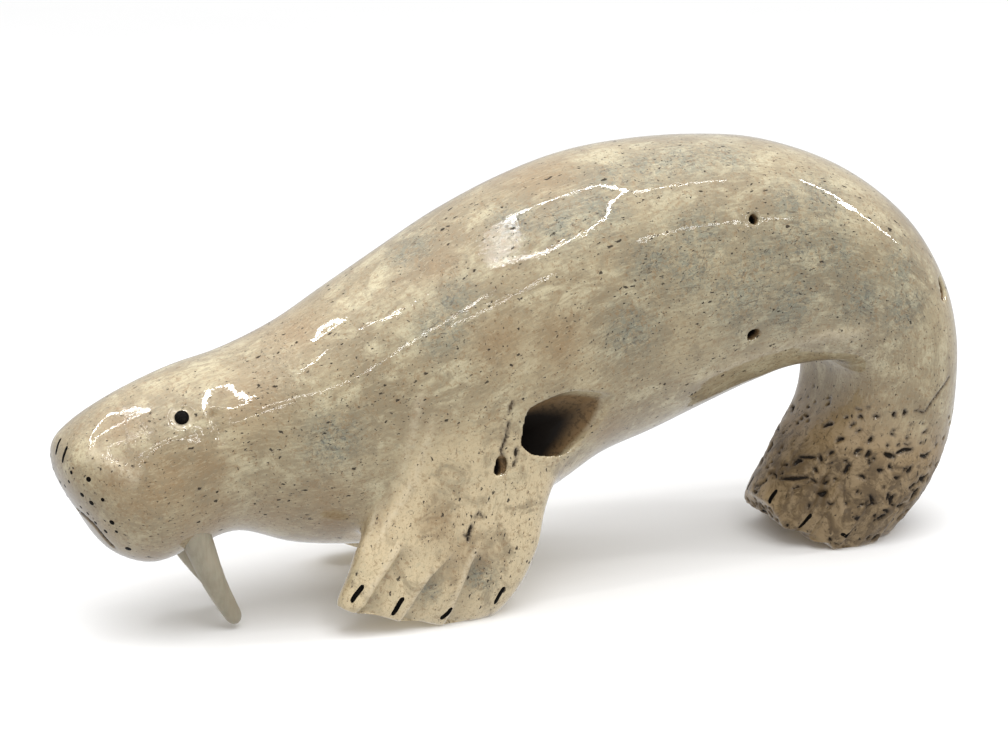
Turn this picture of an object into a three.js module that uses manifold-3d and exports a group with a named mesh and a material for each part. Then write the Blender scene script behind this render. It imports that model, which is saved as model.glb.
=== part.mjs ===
// A walrus carved from one piece of walrus jawbone, standing on its four flippers, with two ivory tusks set
// in sockets under the muzzle and dark baleen inlaid for the eyes, the nostrils and the claws.
// Millimetres. +X runs from nose to tail, +Z is up and the animal's left side faces -Y. The origin is the
// middle of the bounding box at the level of the soles.
import * as THREE from "three";
import { mergeVertices } from "three/addons/utils/BufferGeometryUtils.js";
import Module from "manifold-3d";

const wasm = await Module();
wasm.setup();

// Driving dimensions
const ROUNDNESS = 2.15; // exponent of the trunk's cross-section, a little fuller than an ellipse
const TRUNK_STEPS = 54;
const TRUNK_SIDES = 34;
const PLAN_STEP = 0.01; // share of the trunk over which its direction in plan is measured
const PADDLE_ROUNDNESS = 2.6; // exponent of the front flipper's cross-section
const PADDLE_STEPS = 13;
const PADDLE_SIDES = 20;
const INLAY_GAP = 0.3; // free space round an inlaid piece
const STANDS_OUT = 1.5; // how far an inlay's blank stands out before it is trimmed flush
const EYE_DIAMETER = 3.5;
const EYE_DEPTH = 3;
const CLAW = { width: 1.3, depth: 1.6 };
const NOSTRIL = { length: 4.4, width: 1.1, depth: 1.8 };
const LEFT = -1;
const RIGHT = 1;
const SIDES = [LEFT, RIGHT];
const SIDE_NAME = { [LEFT]: "left", [RIGHT]: "right" };
const PADDLE_SET_BACK = { [LEFT]: 0, [RIGHT]: 8 }; // the right front flipper stands behind the left one

// The trunk from nose to hind soles: where each section meets the back and the belly line, its half width,
// how much wider it is below its middle than above, how full its lower half is (2 for an ellipse, more for a
// box), and how far off the middle plane the turned head is there.
const TRUNK = [
  { back: [-126.5, 47.3], belly: [-126.4, 43.6], half: 3.6, low: 0, full: 2.1, y: -5.0 },
  { back: [-125.2, 50.6], belly: [-124.9, 38.6], half: 9.2, low: 0, full: 2.1, y: -4.8 },
  { back: [-121.7, 53.8], belly: [-120.6, 30.4], half: 13.8, low: 0.04, full: 2.1, y: -4.2 },
  { back: [-115.5, 57.5], belly: [-115.3, 22.1], half: 17.2, low: 0.08, full: 2.1, y: -3.4 },
  { back: [-106.5, 61.4], belly: [-106.2, 17.8], half: 19.2, low: 0.08, full: 2.1, y: -2.3 },
  { back: [-95.4, 65.0], belly: [-96.3, 19.8], half: 19.8, low: 0.03, full: 2.1, y: -1.3 },
  { back: [-83.0, 67.8], belly: [-84.1, 22.5], half: 20.4, low: 0, full: 2.1, y: -0.6 },
  { back: [-69.0, 73.4], belly: [-69.5, 17.4], half: 22.2, low: 0, full: 2.1, y: -0.2 },
  { back: [-56.0, 81.0], belly: [-54.5, 15.2], half: 24.6, low: 0.02, full: 2.2, y: 0 },
  { back: [-42.0, 89.3], belly: [-38.0, 14.8], half: 27.0, low: 0.08, full: 2.3, y: 0 },
  { back: [-27.0, 97.8], belly: [-20.0, 16.0], half: 28.6, low: 0.1, full: 2.3, y: 0 },
  { back: [-10.0, 105.1], belly: [-2.0, 24.0], half: 29.2, low: 0.08, full: 2.3, y: 0 },
  { back: [7.0, 110.1], belly: [10.8, 31.0], half: 29.0, low: 0.04, full: 2.2, y: 0 },
  { back: [24.0, 112.2], belly: [26.5, 35.4], half: 28.4, low: 0, full: 2.1, y: 0 },
  { back: [43.0, 112.4], belly: [41.5, 40.8], half: 27.6, low: 0, full: 2.1, y: 0 },
  { back: [62.8, 110.1], belly: [55.6, 46.0], half: 26.8, low: 0, full: 2.2, y: 0 },
  { back: [84.6, 102.1], belly: [66.6, 49.9], half: 26.0, low: 0, full: 2.7, y: 0 },
  { back: [102.8, 88.9], belly: [75.8, 52.2], half: 24.8, low: 0, full: 5.0, y: 0 },
  { back: [114.0, 73.0], belly: [83.0, 51.2], half: 23.4, low: 0, full: 7.0, y: 0 },
  { back: [119.7, 57.3], belly: [84.5, 42.8], half: 22.2, low: 0, full: 5.0, y: 0 },
  { back: [121.4, 42.0], belly: [80.0, 33.9], half: 21.6, low: 0, full: 2.8, y: 0 },
  { back: [120.8, 28.4], belly: [73.0, 26.6], half: 21.4, low: 0, full: 2.1, y: 0 },
  { back: [117.0, 17.4], belly: [67.4, 18.8], half: 22.0, low: 0, full: 1.8, y: 0 },
  { back: [111.6, 9.4], belly: [62.6, 11.4], half: 22.2, low: 0, full: 1.7, y: 0 },
  { back: [105.4, 1.8], belly: [59.4, 3.0], half: 19.8, low: 0, full: 1.7, y: 0 },
  { back: [98.6, -6.0], belly: [58.0, -8.0], half: 16.0, low: 0, full: 1.8, y: 0 },
];

// A front flipper from shoulder to toes: its front and rear edge in side view, and how far its inner and
// outer faces are from the middle of the body.
const PADDLE = [
  { front: [-42.0, 66.0], rear: [-24.0, 68.0], inner: 8.0, outer: 21.0 },
  { front: [-43.8, 58.0], rear: [-17.0, 60.0], inner: 9.0, outer: 26.4 },
  { front: [-46.6, 45.0], rear: [-9.0, 47.0], inner: 11.0, outer: 29.6 },
  { front: [-51.6, 32.0], rear: [-6.0, 34.0], inner: 14.0, outer: 30.8 },
  { front: [-58.4, 23.6], rear: [-9.4, 22.4], inner: 17.0, outer: 31.4 },
  { front: [-61.0, 16.4], rear: [-12.2, 15.6], inner: 19.0, outer: 32.0 },
  { front: [-64.4, 10.0], rear: [-16.0, 8.4], inner: 20.4, outer: 32.2 },
  { front: [-65.8, 5.0], rear: [-20.4, 2.6], inner: 21.0, outer: 31.2 },
  { front: [-65.0, -3.0], rear: [-26.0, -3.0], inner: 22.0, outer: 28.0 },
];

// The soles in side view, from the raised front toe back to the flat ground.
const FRONT_SOLE = [[-72, 12], [-67, 9], [-62, 6.6], [-56.5, 5.8], [-50, 2.9], [-45, 2.3], [-39.5, 0]];
const HIND_SOLE = [[54, 19], [60.6, 13.6], [64, 10], [67.6, 4.9], [71.6, 4.2], [76.6, 1.6], [79, 0]];

// Steps between neighbouring toes, as lines in side view from the web down to the edge, and how far forward
// of the side the flipper's face looks there, in degrees.
const FRONT_TOE_STEPS = [
  { top: [-50.5, 21.0], bottom: [-58.6, 7.5], looks: 0 },
  { top: [-38.0, 21.5], bottom: [-48.2, 4.0], looks: 0 },
  { top: [-28.8, 18.5], bottom: [-36.4, 4.0], looks: 0 },
];
const HIND_TOE_STEPS = [
  { top: [77.0, 22.0], bottom: [68.4, 7.5], looks: 35 },
  { top: [86.0, 15.0], bottom: [79.0, 4.0], looks: 20 },
  { top: [98.0, 15.0], bottom: [91.5, 4.0], looks: 0 },
];
const TOE_STEP = { width: 5.0, depth: 1.8, slant: 0.4, from: 17, lowest: 4, runout: 5 };

// Claws of the left flippers: a point near the middle of each, its length, how far its top leans back from
// upright, and how far forward of the side it looks, in degrees. The right ones mirror them.
const FRONT_CLAWS = [
  { at: [-60.6, -30, 11.7], length: 5.4, lean: 35, looks: 0 },
  { at: [-51.0, -30, 7.7], length: 5.6, lean: 36, looks: 0 },
  { at: [-38.4, -30, 3.8], length: 4.4, lean: 37, looks: 0 },
  { at: [-24.2, -30, 6.3], length: 5.4, lean: 27, looks: 0 },
];
const HIND_CLAWS = [
  { at: [64.6, -4.0, 13.2], length: 4.6, lean: 32, looks: 62 },
  { at: [70.6, -15.0, 8.0], length: 5.4, lean: 40, looks: 40 },
  { at: [82.0, -19.8, 5.4], length: 4.6, lean: 38, looks: 25 },
  { at: [95.4, -18.6, 4.6], length: 5.2, lean: 34, looks: 0 },
];

// The face, as directions from the middle of the muzzle: degrees aside of straight ahead, and up.
const MUZZLE_MIDDLE = [-106, -2.4, 38.5];
const HEAD_TURN = 7; // degrees to the left
const NOSTRILS = { [LEFT]: { aside: 11, up: 26 }, [RIGHT]: { aside: 2, up: 28 } };
const NOSTRIL_LEAN = 14;
const WHISKERS = [
  { aside: 21, up: 17, size: 1.0 },
  { aside: 35, up: 15, size: 1.3 },
  { aside: 16, up: 10, size: 0.9 },
  { aside: 5, up: 4, size: 0.9 },
  { aside: 27, up: 3, size: 1.3 },
  { aside: 34, up: -2, size: 1.4 },
  { aside: 44, up: 2, size: 1.0 },
  { aside: 16, up: -11, size: 1.0 },
  { aside: 23, up: -15, size: 1.0 },
  { aside: 28, up: -23, size: 1.1 },
  { aside: 38, up: -28, size: 1.2 },
  { aside: 48, up: -16, size: 1.4 },
  { aside: 50, up: -24, size: 0.9 },
  { aside: 56, up: -42, size: 1.6 },
];
const WHISKER_DEPTH = 1.2;
const MOUTH = [[0, -31], [8, -35], [16, -42], [29, -48], [40, -48]]; // aside and up, from the middle out
const MOUTH_RADIUS = 0.8;
const EYE_AT = [-98.6, 56.5];

// Centre line of each tusk from the bottom of its socket to its tip.
const TUSKS = {
  [LEFT]: [[-97.2, -13.6, 30.0], [-94.8, -13.2, 22.6], [-91.0, -12.6, 12.0], [-85.9, -12.0, 1.4]],
  [RIGHT]: [[-97.8, 10.0, 28.0], [-94.5, 8.8, 18.6], [-90.0, 7.2, 10.4], [-84.8, 5.4, 2.2]],
};
const TUSK_RADIUS = { root: 4.1, tip: 1.9 };
const TUSK_SIDES = 12;
const TUSK_STEPS = 10;

// Natural openings of the jawbone, as canals: mouth outside the bone, end inside it, and radius.
const NERVE_CANAL = { mouth: [5.6, -38.0, 53.4], end: [-27.0, -13.0, 36.0], radius: 6.2 };
const SMALL_CANALS = [
  { mouth: [-21.4, -35.0, 42.8], end: [-26.4, -24.0, 35.0], radius: 1.6 },
  { mouth: [47.0, -32.0, 98.0], end: [47.0, -14.0, 90.4], radius: 1.3 },
  { mouth: [47.8, -36.0, 64.6], end: [47.8, -20.0, 64.6], radius: 1.6 },
  { mouth: [126.0, -18.0, 66.0], end: [110.0, -8.0, 62.0], radius: 2.0 },
];
const CANAL_SIDES = 18;
const SMALL_CANAL_SIDES = 8;

const GROUND = 60; // reach of the blocks that cut the soles
const REACH = 200; // how far off the body a ray starts

const vector = ([x, z]) => new THREE.Vector3(x, 0, z);

// A smooth curve through one point of each section.
function curveThrough(points) {
  return new THREE.CatmullRomCurve3(points, false, "catmullrom", 0.5);
}

// A closed skin over rings of points, with a point in the middle of each end.
function skin(rings) {
  const sides = rings[0].length;
  const positions = rings.flat();
  const middle = (ring) =>
    ring.reduce((sum, p) => sum.add(p), new THREE.Vector3()).divideScalar(ring.length);
  const first = positions.push(middle(rings[0])) - 1;
  const last = positions.push(middle(rings.at(-1))) - 1;
  const index = [];
  for (let i = 0; i < rings.length - 1; i++) {
    for (let j = 0; j < sides; j++) {
      const a = i * sides + j;
      const b = i * sides + ((j + 1) % sides);
      index.push(a, b, b + sides, a, b + sides, a + sides);
    }
  }
  const end = (rings.length - 1) * sides;
  for (let j = 0; j < sides; j++) {
    const next = (j + 1) % sides;
    index.push(first, next, j, last, end + j, end + next);
  }
  const geometry = new THREE.BufferGeometry().setFromPoints(positions);
  return geometry.setIndex(index);
}

// The solid inside a closed skin, whose triangles are turned to face outwards if need be.
function solidOf(geometry) {
  const bare = geometry.clone();
  for (const name of ["normal", "uv"]) bare.deleteAttribute(name);
  const merged = mergeVertices(bare, 1e-4);
  const triVerts = new Uint32Array(merged.index.array);
  const build = () =>
    new wasm.Manifold(
      new wasm.Mesh({ numProp: 3, vertProperties: merged.attributes.position.array, triVerts }),
    );
  const solid = build();
  if (solid.volume() > 0) return solid;
  for (let i = 0; i < triVerts.length; i += 3) {
    [triVerts[i + 1], triVerts[i + 2]] = [triVerts[i + 2], triVerts[i + 1]];
  }
  return build();
}

function geometryOf(solid) {
  const mesh = solid.getMesh();
  const positions = new Float32Array(mesh.numVert * 3);
  for (let i = 0; i < mesh.numVert; i++) {
    positions.set(mesh.vertProperties.subarray(i * mesh.numProp, i * mesh.numProp + 3), i * 3);
  }
  const geometry = new THREE.BufferGeometry();
  geometry.setAttribute("position", new THREE.BufferAttribute(positions, 3));
  geometry.setIndex(new THREE.BufferAttribute(mesh.triVerts, 1));
  return geometry;
}

const power = (value, exponent) => Math.sign(value) * Math.abs(value) ** exponent;

function trunkGeometry() {
  const back = curveThrough(TRUNK.map((s) => vector(s.back)));
  const belly = curveThrough(TRUNK.map((s) => vector(s.belly)));
  const width = curveThrough(TRUNK.map((s) => new THREE.Vector3(s.half, s.low, s.full)));
  const plan = curveThrough(TRUNK.map((s) => new THREE.Vector3((s.back[0] + s.belly[0]) / 2, s.y, 0)));
  const rings = [];
  for (let i = 0; i <= TRUNK_STEPS; i++) {
    const t = i / TRUNK_STEPS;
    const top = back.getPoint(t);
    const bottom = belly.getPoint(t);
    const ahead = plan.getPoint(Math.max(0, t - PLAN_STEP));
    const behind = plan.getPoint(Math.min(1, t + PLAN_STEP));
    const { x: half, y: low, z: full } = width.getPoint(t);
    const middle = top.clone().add(bottom).multiplyScalar(0.5);
    const up = top.clone().sub(bottom).multiplyScalar(0.5);
    const lean = behind.x > ahead.x ? (behind.y - ahead.y) / (behind.x - ahead.x) : 0;
    const across = new THREE.Vector3(-lean, 1, 0).normalize();
    middle.y = plan.getPoint(t).y;
    const ring = [];
    for (let j = 0; j < TRUNK_SIDES; j++) {
      const angle = (j / TRUNK_SIDES) * 2 * Math.PI;
      const bend = 2 / (Math.cos(angle) < 0 ? full : ROUNDNESS);
      const rise = power(Math.cos(angle), bend);
      const aside = power(Math.sin(angle), bend) * half * (1 - low * rise);
      ring.push(middle.clone().addScaledVector(up, rise).addScaledVector(across, aside));
    }
    rings.push(ring);
  }
  return skin(rings);
}

function paddleGeometry(side) {
  const front = curveThrough(PADDLE.map((s) => vector(s.front)));
  const rear = curveThrough(PADDLE.map((s) => vector(s.rear)));
  const faces = curveThrough(PADDLE.map((s) => new THREE.Vector3(s.inner, s.outer, 0)));
  const rings = [];
  for (let i = 0; i <= PADDLE_STEPS; i++) {
    const t = i / PADDLE_STEPS;
    const a = front.getPoint(t);
    const b = rear.getPoint(t);
    const { x: inner, y: outer } = faces.getPoint(t);
    const ring = [];
    for (let j = 0; j < PADDLE_SIDES; j++) {
      const angle = (j / PADDLE_SIDES) * 2 * Math.PI;
      const along = 0.5 + 0.5 * power(Math.cos(angle), 2 / PADDLE_ROUNDNESS);
      const aside = power(Math.sin(angle), 2 / PADDLE_ROUNDNESS);
      const out = (inner + outer) / 2 + ((outer - inner) / 2) * aside;
      ring.push(a.clone().lerp(b, along).setY(out * side));
    }
    rings.push(ring);
  }
  return skin(rings);
}

// The ground under a pair of flippers, as a block that reaches up to the sole's outline.
function groundUnder(sole) {
  const front = sole[0][0];
  const rear = sole.at(-1)[0] + GROUND;
  const outline = [...sole, [rear, 0], [rear, -GROUND], [front, -GROUND]];
  const shape = new THREE.Shape(outline.map(([x, z]) => new THREE.Vector2(x, z)));
  const block = new THREE.ExtrudeGeometry(shape, { depth: 2 * GROUND, bevelEnabled: false });
  return solidOf(block.rotateX(Math.PI / 2).translate(0, GROUND, 0));
}

// A straight round canal from its mouth to its end, with a blunt conical bottom.
function canal({ mouth, end, radius }, sides) {
  const from = new THREE.Vector3(...mouth);
  const to = new THREE.Vector3(...end);
  const length = from.distanceTo(to);
  const profile = [
    new THREE.Vector2(0, 0),
    new THREE.Vector2(radius, 0),
    new THREE.Vector2(radius, length - radius * 0.5),
    new THREE.Vector2(radius * 0.55, length),
    new THREE.Vector2(0, length),
  ];
  const geometry = new THREE.LatheGeometry(profile, sides);
  const turn = new THREE.Quaternion().setFromUnitVectors(
    new THREE.Vector3(0, 1, 0),
    to.clone().sub(from).normalize(),
  );
  geometry.applyQuaternion(turn).translate(from.x, from.y, from.z);
  return solidOf(geometry);
}

// The first point where a ray meets the carving, with the surface's outward normal there.
const raycaster = new THREE.Raycaster();
function firstHit(mesh, origin, direction) {
  raycaster.set(origin, direction.clone().normalize());
  const [hit] = raycaster.intersectObject(mesh);
  if (!hit) throw new Error("a ray misses the carving");
  return { point: hit.point, normal: hit.face.normal.clone() };
}

function hitFromSide(mesh, [x, y, z], side, looks = 0) {
  const angle = THREE.MathUtils.degToRad(looks);
  const out = new THREE.Vector3(-Math.sin(angle), side * Math.cos(angle), 0);
  const origin = new THREE.Vector3(x, -side * y, z).addScaledVector(out, REACH);
  return firstHit(mesh, origin, out.negate());
}

function hitFromMuzzle(mesh, aside, up, side) {
  const a = THREE.MathUtils.degToRad(HEAD_TURN - side * aside);
  const e = THREE.MathUtils.degToRad(up);
  const out = new THREE.Vector3(-Math.cos(a) * Math.cos(e), -Math.sin(a) * Math.cos(e), Math.sin(e));
  const origin = new THREE.Vector3(...MUZZLE_MIDDLE).addScaledVector(out, REACH);
  return firstHit(mesh, origin, out.negate());
}

// Sets a shape onto the surface: +Z points outwards and +X as near to the wanted direction as can be.
function seat(geometry, hit, along) {
  const z = hit.normal;
  const x = along.clone().addScaledVector(z, -along.dot(z)).normalize();
  const y = new THREE.Vector3().crossVectors(z, x);
  geometry.applyMatrix4(new THREE.Matrix4().makeBasis(x, y, z).setPosition(hit.point));
  return geometry;
}

// Direction in side view that leans back from upright by the given degrees.
function leaning(lean) {
  const angle = THREE.MathUtils.degToRad(lean);
  return new THREE.Vector3(Math.sin(angle), 0, Math.cos(angle));
}

function stripBlank(length, width, depth, spare) {
  const tall = depth + STANDS_OUT + spare;
  const blank = new THREE.BoxGeometry(length + 2 * spare, width + 2 * spare, tall);
  return blank.translate(0, 0, STANDS_OUT - tall / 2);
}

function pegBlank(diameter, depth, spare, sides) {
  const tall = depth + STANDS_OUT + spare;
  const blank = new THREE.CylinderGeometry(diameter / 2 + spare, diameter / 2 + spare, tall, sides);
  return blank.rotateX(Math.PI / 2).translate(0, 0, STANDS_OUT - tall / 2);
}

// Every inlay as its name, its place and a function for its blank at a given extra size.
function inlayPlaces(mesh) {
  const places = [];
  for (const side of SIDES) {
    const word = SIDE_NAME[side];
    places.push({
      name: `eye_${word}`,
      hit: hitFromSide(mesh, [EYE_AT[0], 0, EYE_AT[1]], side),
      along: new THREE.Vector3(1, 0, 0),
      blank: (spare) => pegBlank(EYE_DIAMETER, EYE_DEPTH, spare, 16),
    });
    places.push({
      name: `nostril_${word}`,
      hit: hitFromMuzzle(mesh, NOSTRILS[side].aside, NOSTRILS[side].up, side),
      along: leaning(NOSTRIL_LEAN),
      blank: (spare) => stripBlank(NOSTRIL.length, NOSTRIL.width, NOSTRIL.depth, spare),
    });
    for (const [kind, claws] of [["front", FRONT_CLAWS], ["hind", HIND_CLAWS]]) {
      claws.forEach(({ at: [x, y, z], length, lean, looks }, i) => {
        const setBack = kind === "front" ? PADDLE_SET_BACK[side] : 0;
        places.push({
          name: `${kind}_claw_${word}_${i + 1}`,
          hit: hitFromSide(mesh, [x + setBack, y, z], side, looks),
          along: leaning(lean),
          blank: (spare) => stripBlank(length, CLAW.width, CLAW.depth, spare),
        });
      });
    }
  }
  return places;
}

// The slanting step beside each toe: a long wedge laid along the line between two toes and cut into the face.
function toeStep(mesh, { top, bottom, looks }, side, setBack) {
  const wedge = new THREE.Shape([
    new THREE.Vector2(-TOE_STEP.slant, -TOE_STEP.depth),
    new THREE.Vector2(TOE_STEP.width, STANDS_OUT * 0.2),
    new THREE.Vector2(TOE_STEP.width, STANDS_OUT * 2),
    new THREE.Vector2(-TOE_STEP.slant * 2, STANDS_OUT * 2),
  ]);
  const [upper, lower] = [top, bottom].map(([x, z]) => {
    const at = [x + setBack, -TOE_STEP.from, Math.max(z, TOE_STEP.lowest)];
    return hitFromSide(mesh, at, side, looks);
  });
  const line = lower.point.clone().sub(upper.point);
  const down = line.clone().normalize();
  const normal = upper.normal.clone().add(lower.normal);
  const out = normal.addScaledVector(down, -normal.dot(down)).normalize();
  const rear = new THREE.Vector3().crossVectors(out, down);
  if (rear.x < 0) rear.negate();
  const depth = line.length() + 2 * TOE_STEP.runout;
  const cut = new THREE.ExtrudeGeometry(wedge, { depth, bevelEnabled: false });
  cut.translate(0, 0, -TOE_STEP.runout * 0.3);
  cut.applyMatrix4(new THREE.Matrix4().makeBasis(rear, out, down).setPosition(upper.point));
  return solidOf(cut);
}

function mouthCut(mesh) {
  const arm = (side) => MOUTH.map(([aside, up]) => hitFromMuzzle(mesh, aside, up, side).point);
  const path = curveThrough([...arm(LEFT).reverse(), ...arm(RIGHT).slice(1)]);
  const section = new THREE.Shape().absarc(0, 0, MOUTH_RADIUS, 0, 2 * Math.PI);
  const options = { extrudePath: path, steps: 16, curveSegments: 4, bevelEnabled: false };
  return solidOf(new THREE.ExtrudeGeometry(section, options));
}

// A tusk along its bowed centre line, thickest at the root and with a blunt tip. With spare radius it is the
// tusk's socket.
function tuskGeometry(centres, spare) {
  const line = curveThrough(centres.map((p) => new THREE.Vector3(...p)));
  const frames = line.computeFrenetFrames(TUSK_STEPS, false);
  const rings = [];
  for (let i = 0; i <= TUSK_STEPS; i++) {
    const t = i / TUSK_STEPS;
    const taper = THREE.MathUtils.lerp(TUSK_RADIUS.root, TUSK_RADIUS.tip, t ** 1.3);
    const rounding = Math.sqrt(Math.max(0.03, 1 - Math.max(0, (t - 0.93) / 0.07) ** 2));
    const radius = taper * rounding + spare;
    const centre = line.getPoint(t);
    const ring = [];
    for (let j = 0; j < TUSK_SIDES; j++) {
      const angle = (j / TUSK_SIDES) * 2 * Math.PI;
      ring.push(
        centre
          .clone()
          .addScaledVector(frames.normals[i], Math.cos(angle) * radius)
          .addScaledVector(frames.binormals[i], Math.sin(angle) * radius),
      );
    }
    rings.push(ring);
  }
  return skin(rings);
}

function carvedBone() {
  let bone = solidOf(trunkGeometry());
  bone = bone.subtract(groundUnder(HIND_SOLE));
  for (const side of SIDES) {
    const paddle = solidOf(paddleGeometry(side)).subtract(groundUnder(FRONT_SOLE));
    bone = bone.add(paddle.translate([PADDLE_SET_BACK[side], 0, 0]));
  }
  const mesh = new THREE.Mesh(geometryOf(bone));
  for (const side of SIDES) {
    const setBack = PADDLE_SET_BACK[side];
    for (const step of FRONT_TOE_STEPS) bone = bone.subtract(toeStep(mesh, step, side, setBack));
    for (const step of HIND_TOE_STEPS) bone = bone.subtract(toeStep(mesh, step, side, 0));
  }
  return bone;
}

const bone = carvedBone();
const surface = new THREE.Mesh(geometryOf(bone));

const COLOURS = { bone: "#cbbd9f", ivory: "#b3a98f", baleen: "#16130f" };
const finish = (colour, roughness) =>
  new THREE.MeshStandardMaterial({ color: colour, roughness, metalness: 0 });
const BONE = finish(COLOURS.bone, 0.25);
const IVORY = finish(COLOURS.ivory, 0.4);
const BALEEN = finish(COLOURS.baleen, 0.3);

const walrus = new THREE.Group();
walrus.name = "carved_walrus";

// The origin is moved to the middle of the figure's length and width; its height is left as it is.
const { min, max } = bone.boundingBox();
const TO_MIDDLE = [-(min[0] + max[0]) / 2, -(min[1] + max[1]) / 2, 0];

function addPiece(name, solid, material) {
  const mesh = new THREE.Mesh(geometryOf(solid.translate(TO_MIDDLE)), material);
  mesh.name = name;
  walrus.add(mesh);
}

let body = bone;
for (const { name, hit, along, blank } of inlayPlaces(surface)) {
  const inlay = solidOf(seat(blank(0), hit, along)).intersect(bone);
  body = body.subtract(solidOf(seat(blank(INLAY_GAP), hit, along)));
  addPiece(name, inlay, BALEEN);
}
for (const side of SIDES) {
  for (const { aside, up, size } of WHISKERS) {
    const hit = hitFromMuzzle(surface, aside, up, side);
    const pit = pegBlank(size, WHISKER_DEPTH, 0, 6);
    body = body.subtract(solidOf(seat(pit, hit, new THREE.Vector3(0, 0, 1))));
  }
  addPiece(`tusk_${SIDE_NAME[side]}`, solidOf(tuskGeometry(TUSKS[side], 0)), IVORY);
  body = body.subtract(solidOf(tuskGeometry(TUSKS[side], INLAY_GAP)));
}
body = body.subtract(mouthCut(surface));
body = body.subtract(canal(NERVE_CANAL, CANAL_SIDES));
for (const small of SMALL_CANALS) body = body.subtract(canal(small, SMALL_CANAL_SIDES));
addPiece("carved_jawbone", body, BONE);

export default walrus;
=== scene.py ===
"""A walrus carved from a walrus jawbone: polished bone with pores, a nerve canal and a coarse brown hind end,
two ivory tusks, and dark baleen set in for the eyes, the nostrils and the claws."""

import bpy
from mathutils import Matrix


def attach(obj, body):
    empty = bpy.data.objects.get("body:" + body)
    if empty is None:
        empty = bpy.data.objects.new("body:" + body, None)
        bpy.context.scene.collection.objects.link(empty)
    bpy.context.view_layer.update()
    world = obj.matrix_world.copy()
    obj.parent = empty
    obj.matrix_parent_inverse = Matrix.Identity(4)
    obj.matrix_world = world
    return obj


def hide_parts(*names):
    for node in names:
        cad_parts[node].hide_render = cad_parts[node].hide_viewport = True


bl_info = {
    "name": "Carved Walrus Jawbone",
    "version": (1, 0, 0),
    "blender": (4, 5, 0),
    "location": "3D View > Sidebar > Carving",
    "description": "Builds a polished walrus carving with its inlays, tusks and stage",
    "category": "Add Mesh",
}

import bmesh
import bpy
import numpy as np
from mathutils import Matrix, Vector, noise
from mathutils.bvhtree import BVHTree
from mathutils.kdtree import KDTree

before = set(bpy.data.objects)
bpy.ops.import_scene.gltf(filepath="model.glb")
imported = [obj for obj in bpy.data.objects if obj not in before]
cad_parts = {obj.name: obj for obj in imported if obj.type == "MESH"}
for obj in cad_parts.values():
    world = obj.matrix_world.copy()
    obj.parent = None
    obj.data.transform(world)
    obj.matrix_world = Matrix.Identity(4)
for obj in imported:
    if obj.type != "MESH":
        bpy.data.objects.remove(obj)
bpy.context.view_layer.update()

# Shapes are worked out in millimetres, in the frame's own axes, and made in metres.
MM = 0.001
LEFT = -1
RIGHT = 1
SIDES = (LEFT, RIGHT)
SIDE_NAME = {LEFT: "left", RIGHT: "right"}
FRONT_SET_BACK = {LEFT: 0.0, RIGHT: 8.0}
TO_MIDDLE = 2.35  # the tables of the trunk and flippers are this far ahead of the frame's middle

# Sections of the trunk from nose to hind soles: where each meets the back (x, z) and the belly (x, z), its
# half width, how much wider it is low down, how full its lower half is, and how far the head is turned off.
TRUNK = np.array([
    (-126.5, 47.3, -126.4, 43.6, 3.6, 0.00, 2.1, -5.0),
    (-125.2, 50.6, -124.9, 38.6, 9.2, 0.00, 2.1, -4.8),
    (-121.7, 53.8, -120.6, 30.4, 13.8, 0.04, 2.1, -4.2),
    (-115.5, 57.5, -115.3, 22.1, 17.2, 0.08, 2.1, -3.4),
    (-106.5, 61.4, -106.2, 17.8, 19.2, 0.08, 2.1, -2.3),
    (-95.4, 65.0, -96.3, 19.8, 19.8, 0.03, 2.1, -1.3),
    (-83.0, 67.8, -84.1, 22.5, 20.4, 0.00, 2.1, -0.6),
    (-69.0, 73.4, -69.5, 17.4, 22.2, 0.00, 2.1, -0.2),
    (-56.0, 81.0, -54.5, 15.2, 24.6, 0.02, 2.2, 0.0),
    (-42.0, 89.3, -38.0, 14.8, 27.0, 0.08, 2.3, 0.0),
    (-27.0, 97.8, -20.0, 16.0, 28.6, 0.10, 2.3, 0.0),
    (-10.0, 105.1, -2.0, 24.0, 29.2, 0.08, 2.3, 0.0),
    (7.0, 110.1, 10.8, 31.0, 29.0, 0.04, 2.2, 0.0),
    (24.0, 112.2, 26.5, 35.4, 28.4, 0.00, 2.1, 0.0),
    (43.0, 112.4, 41.5, 40.8, 27.6, 0.00, 2.1, 0.0),
    (62.8, 110.1, 55.6, 46.0, 26.8, 0.00, 2.2, 0.0),
    (84.6, 102.1, 66.6, 49.9, 26.0, 0.00, 2.7, 0.0),
    (102.8, 88.9, 75.8, 52.2, 24.8, 0.00, 5.0, 0.0),
    (114.0, 73.0, 83.0, 51.2, 23.4, 0.00, 7.0, 0.0),
    (119.7, 57.3, 84.5, 42.8, 22.2, 0.00, 5.0, 0.0),
    (121.4, 42.0, 80.0, 33.9, 21.6, 0.00, 2.8, 0.0),
    (120.8, 28.4, 73.0, 26.6, 21.4, 0.00, 2.1, 0.0),
    (117.0, 17.4, 67.4, 18.8, 22.0, 0.00, 1.8, 0.0),
    (111.6, 9.4, 62.6, 11.4, 22.2, 0.00, 1.7, 0.0),
    (105.4, 1.8, 59.4, 3.0, 19.8, 0.00, 1.7, 0.0),
    (98.6, -6.0, 58.0, -8.0, 16.0, 0.00, 1.8, 0.0),
])
ROUNDNESS = 2.15
TRUNK_RINGS = 420
TRUNK_SIDES = 240

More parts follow.
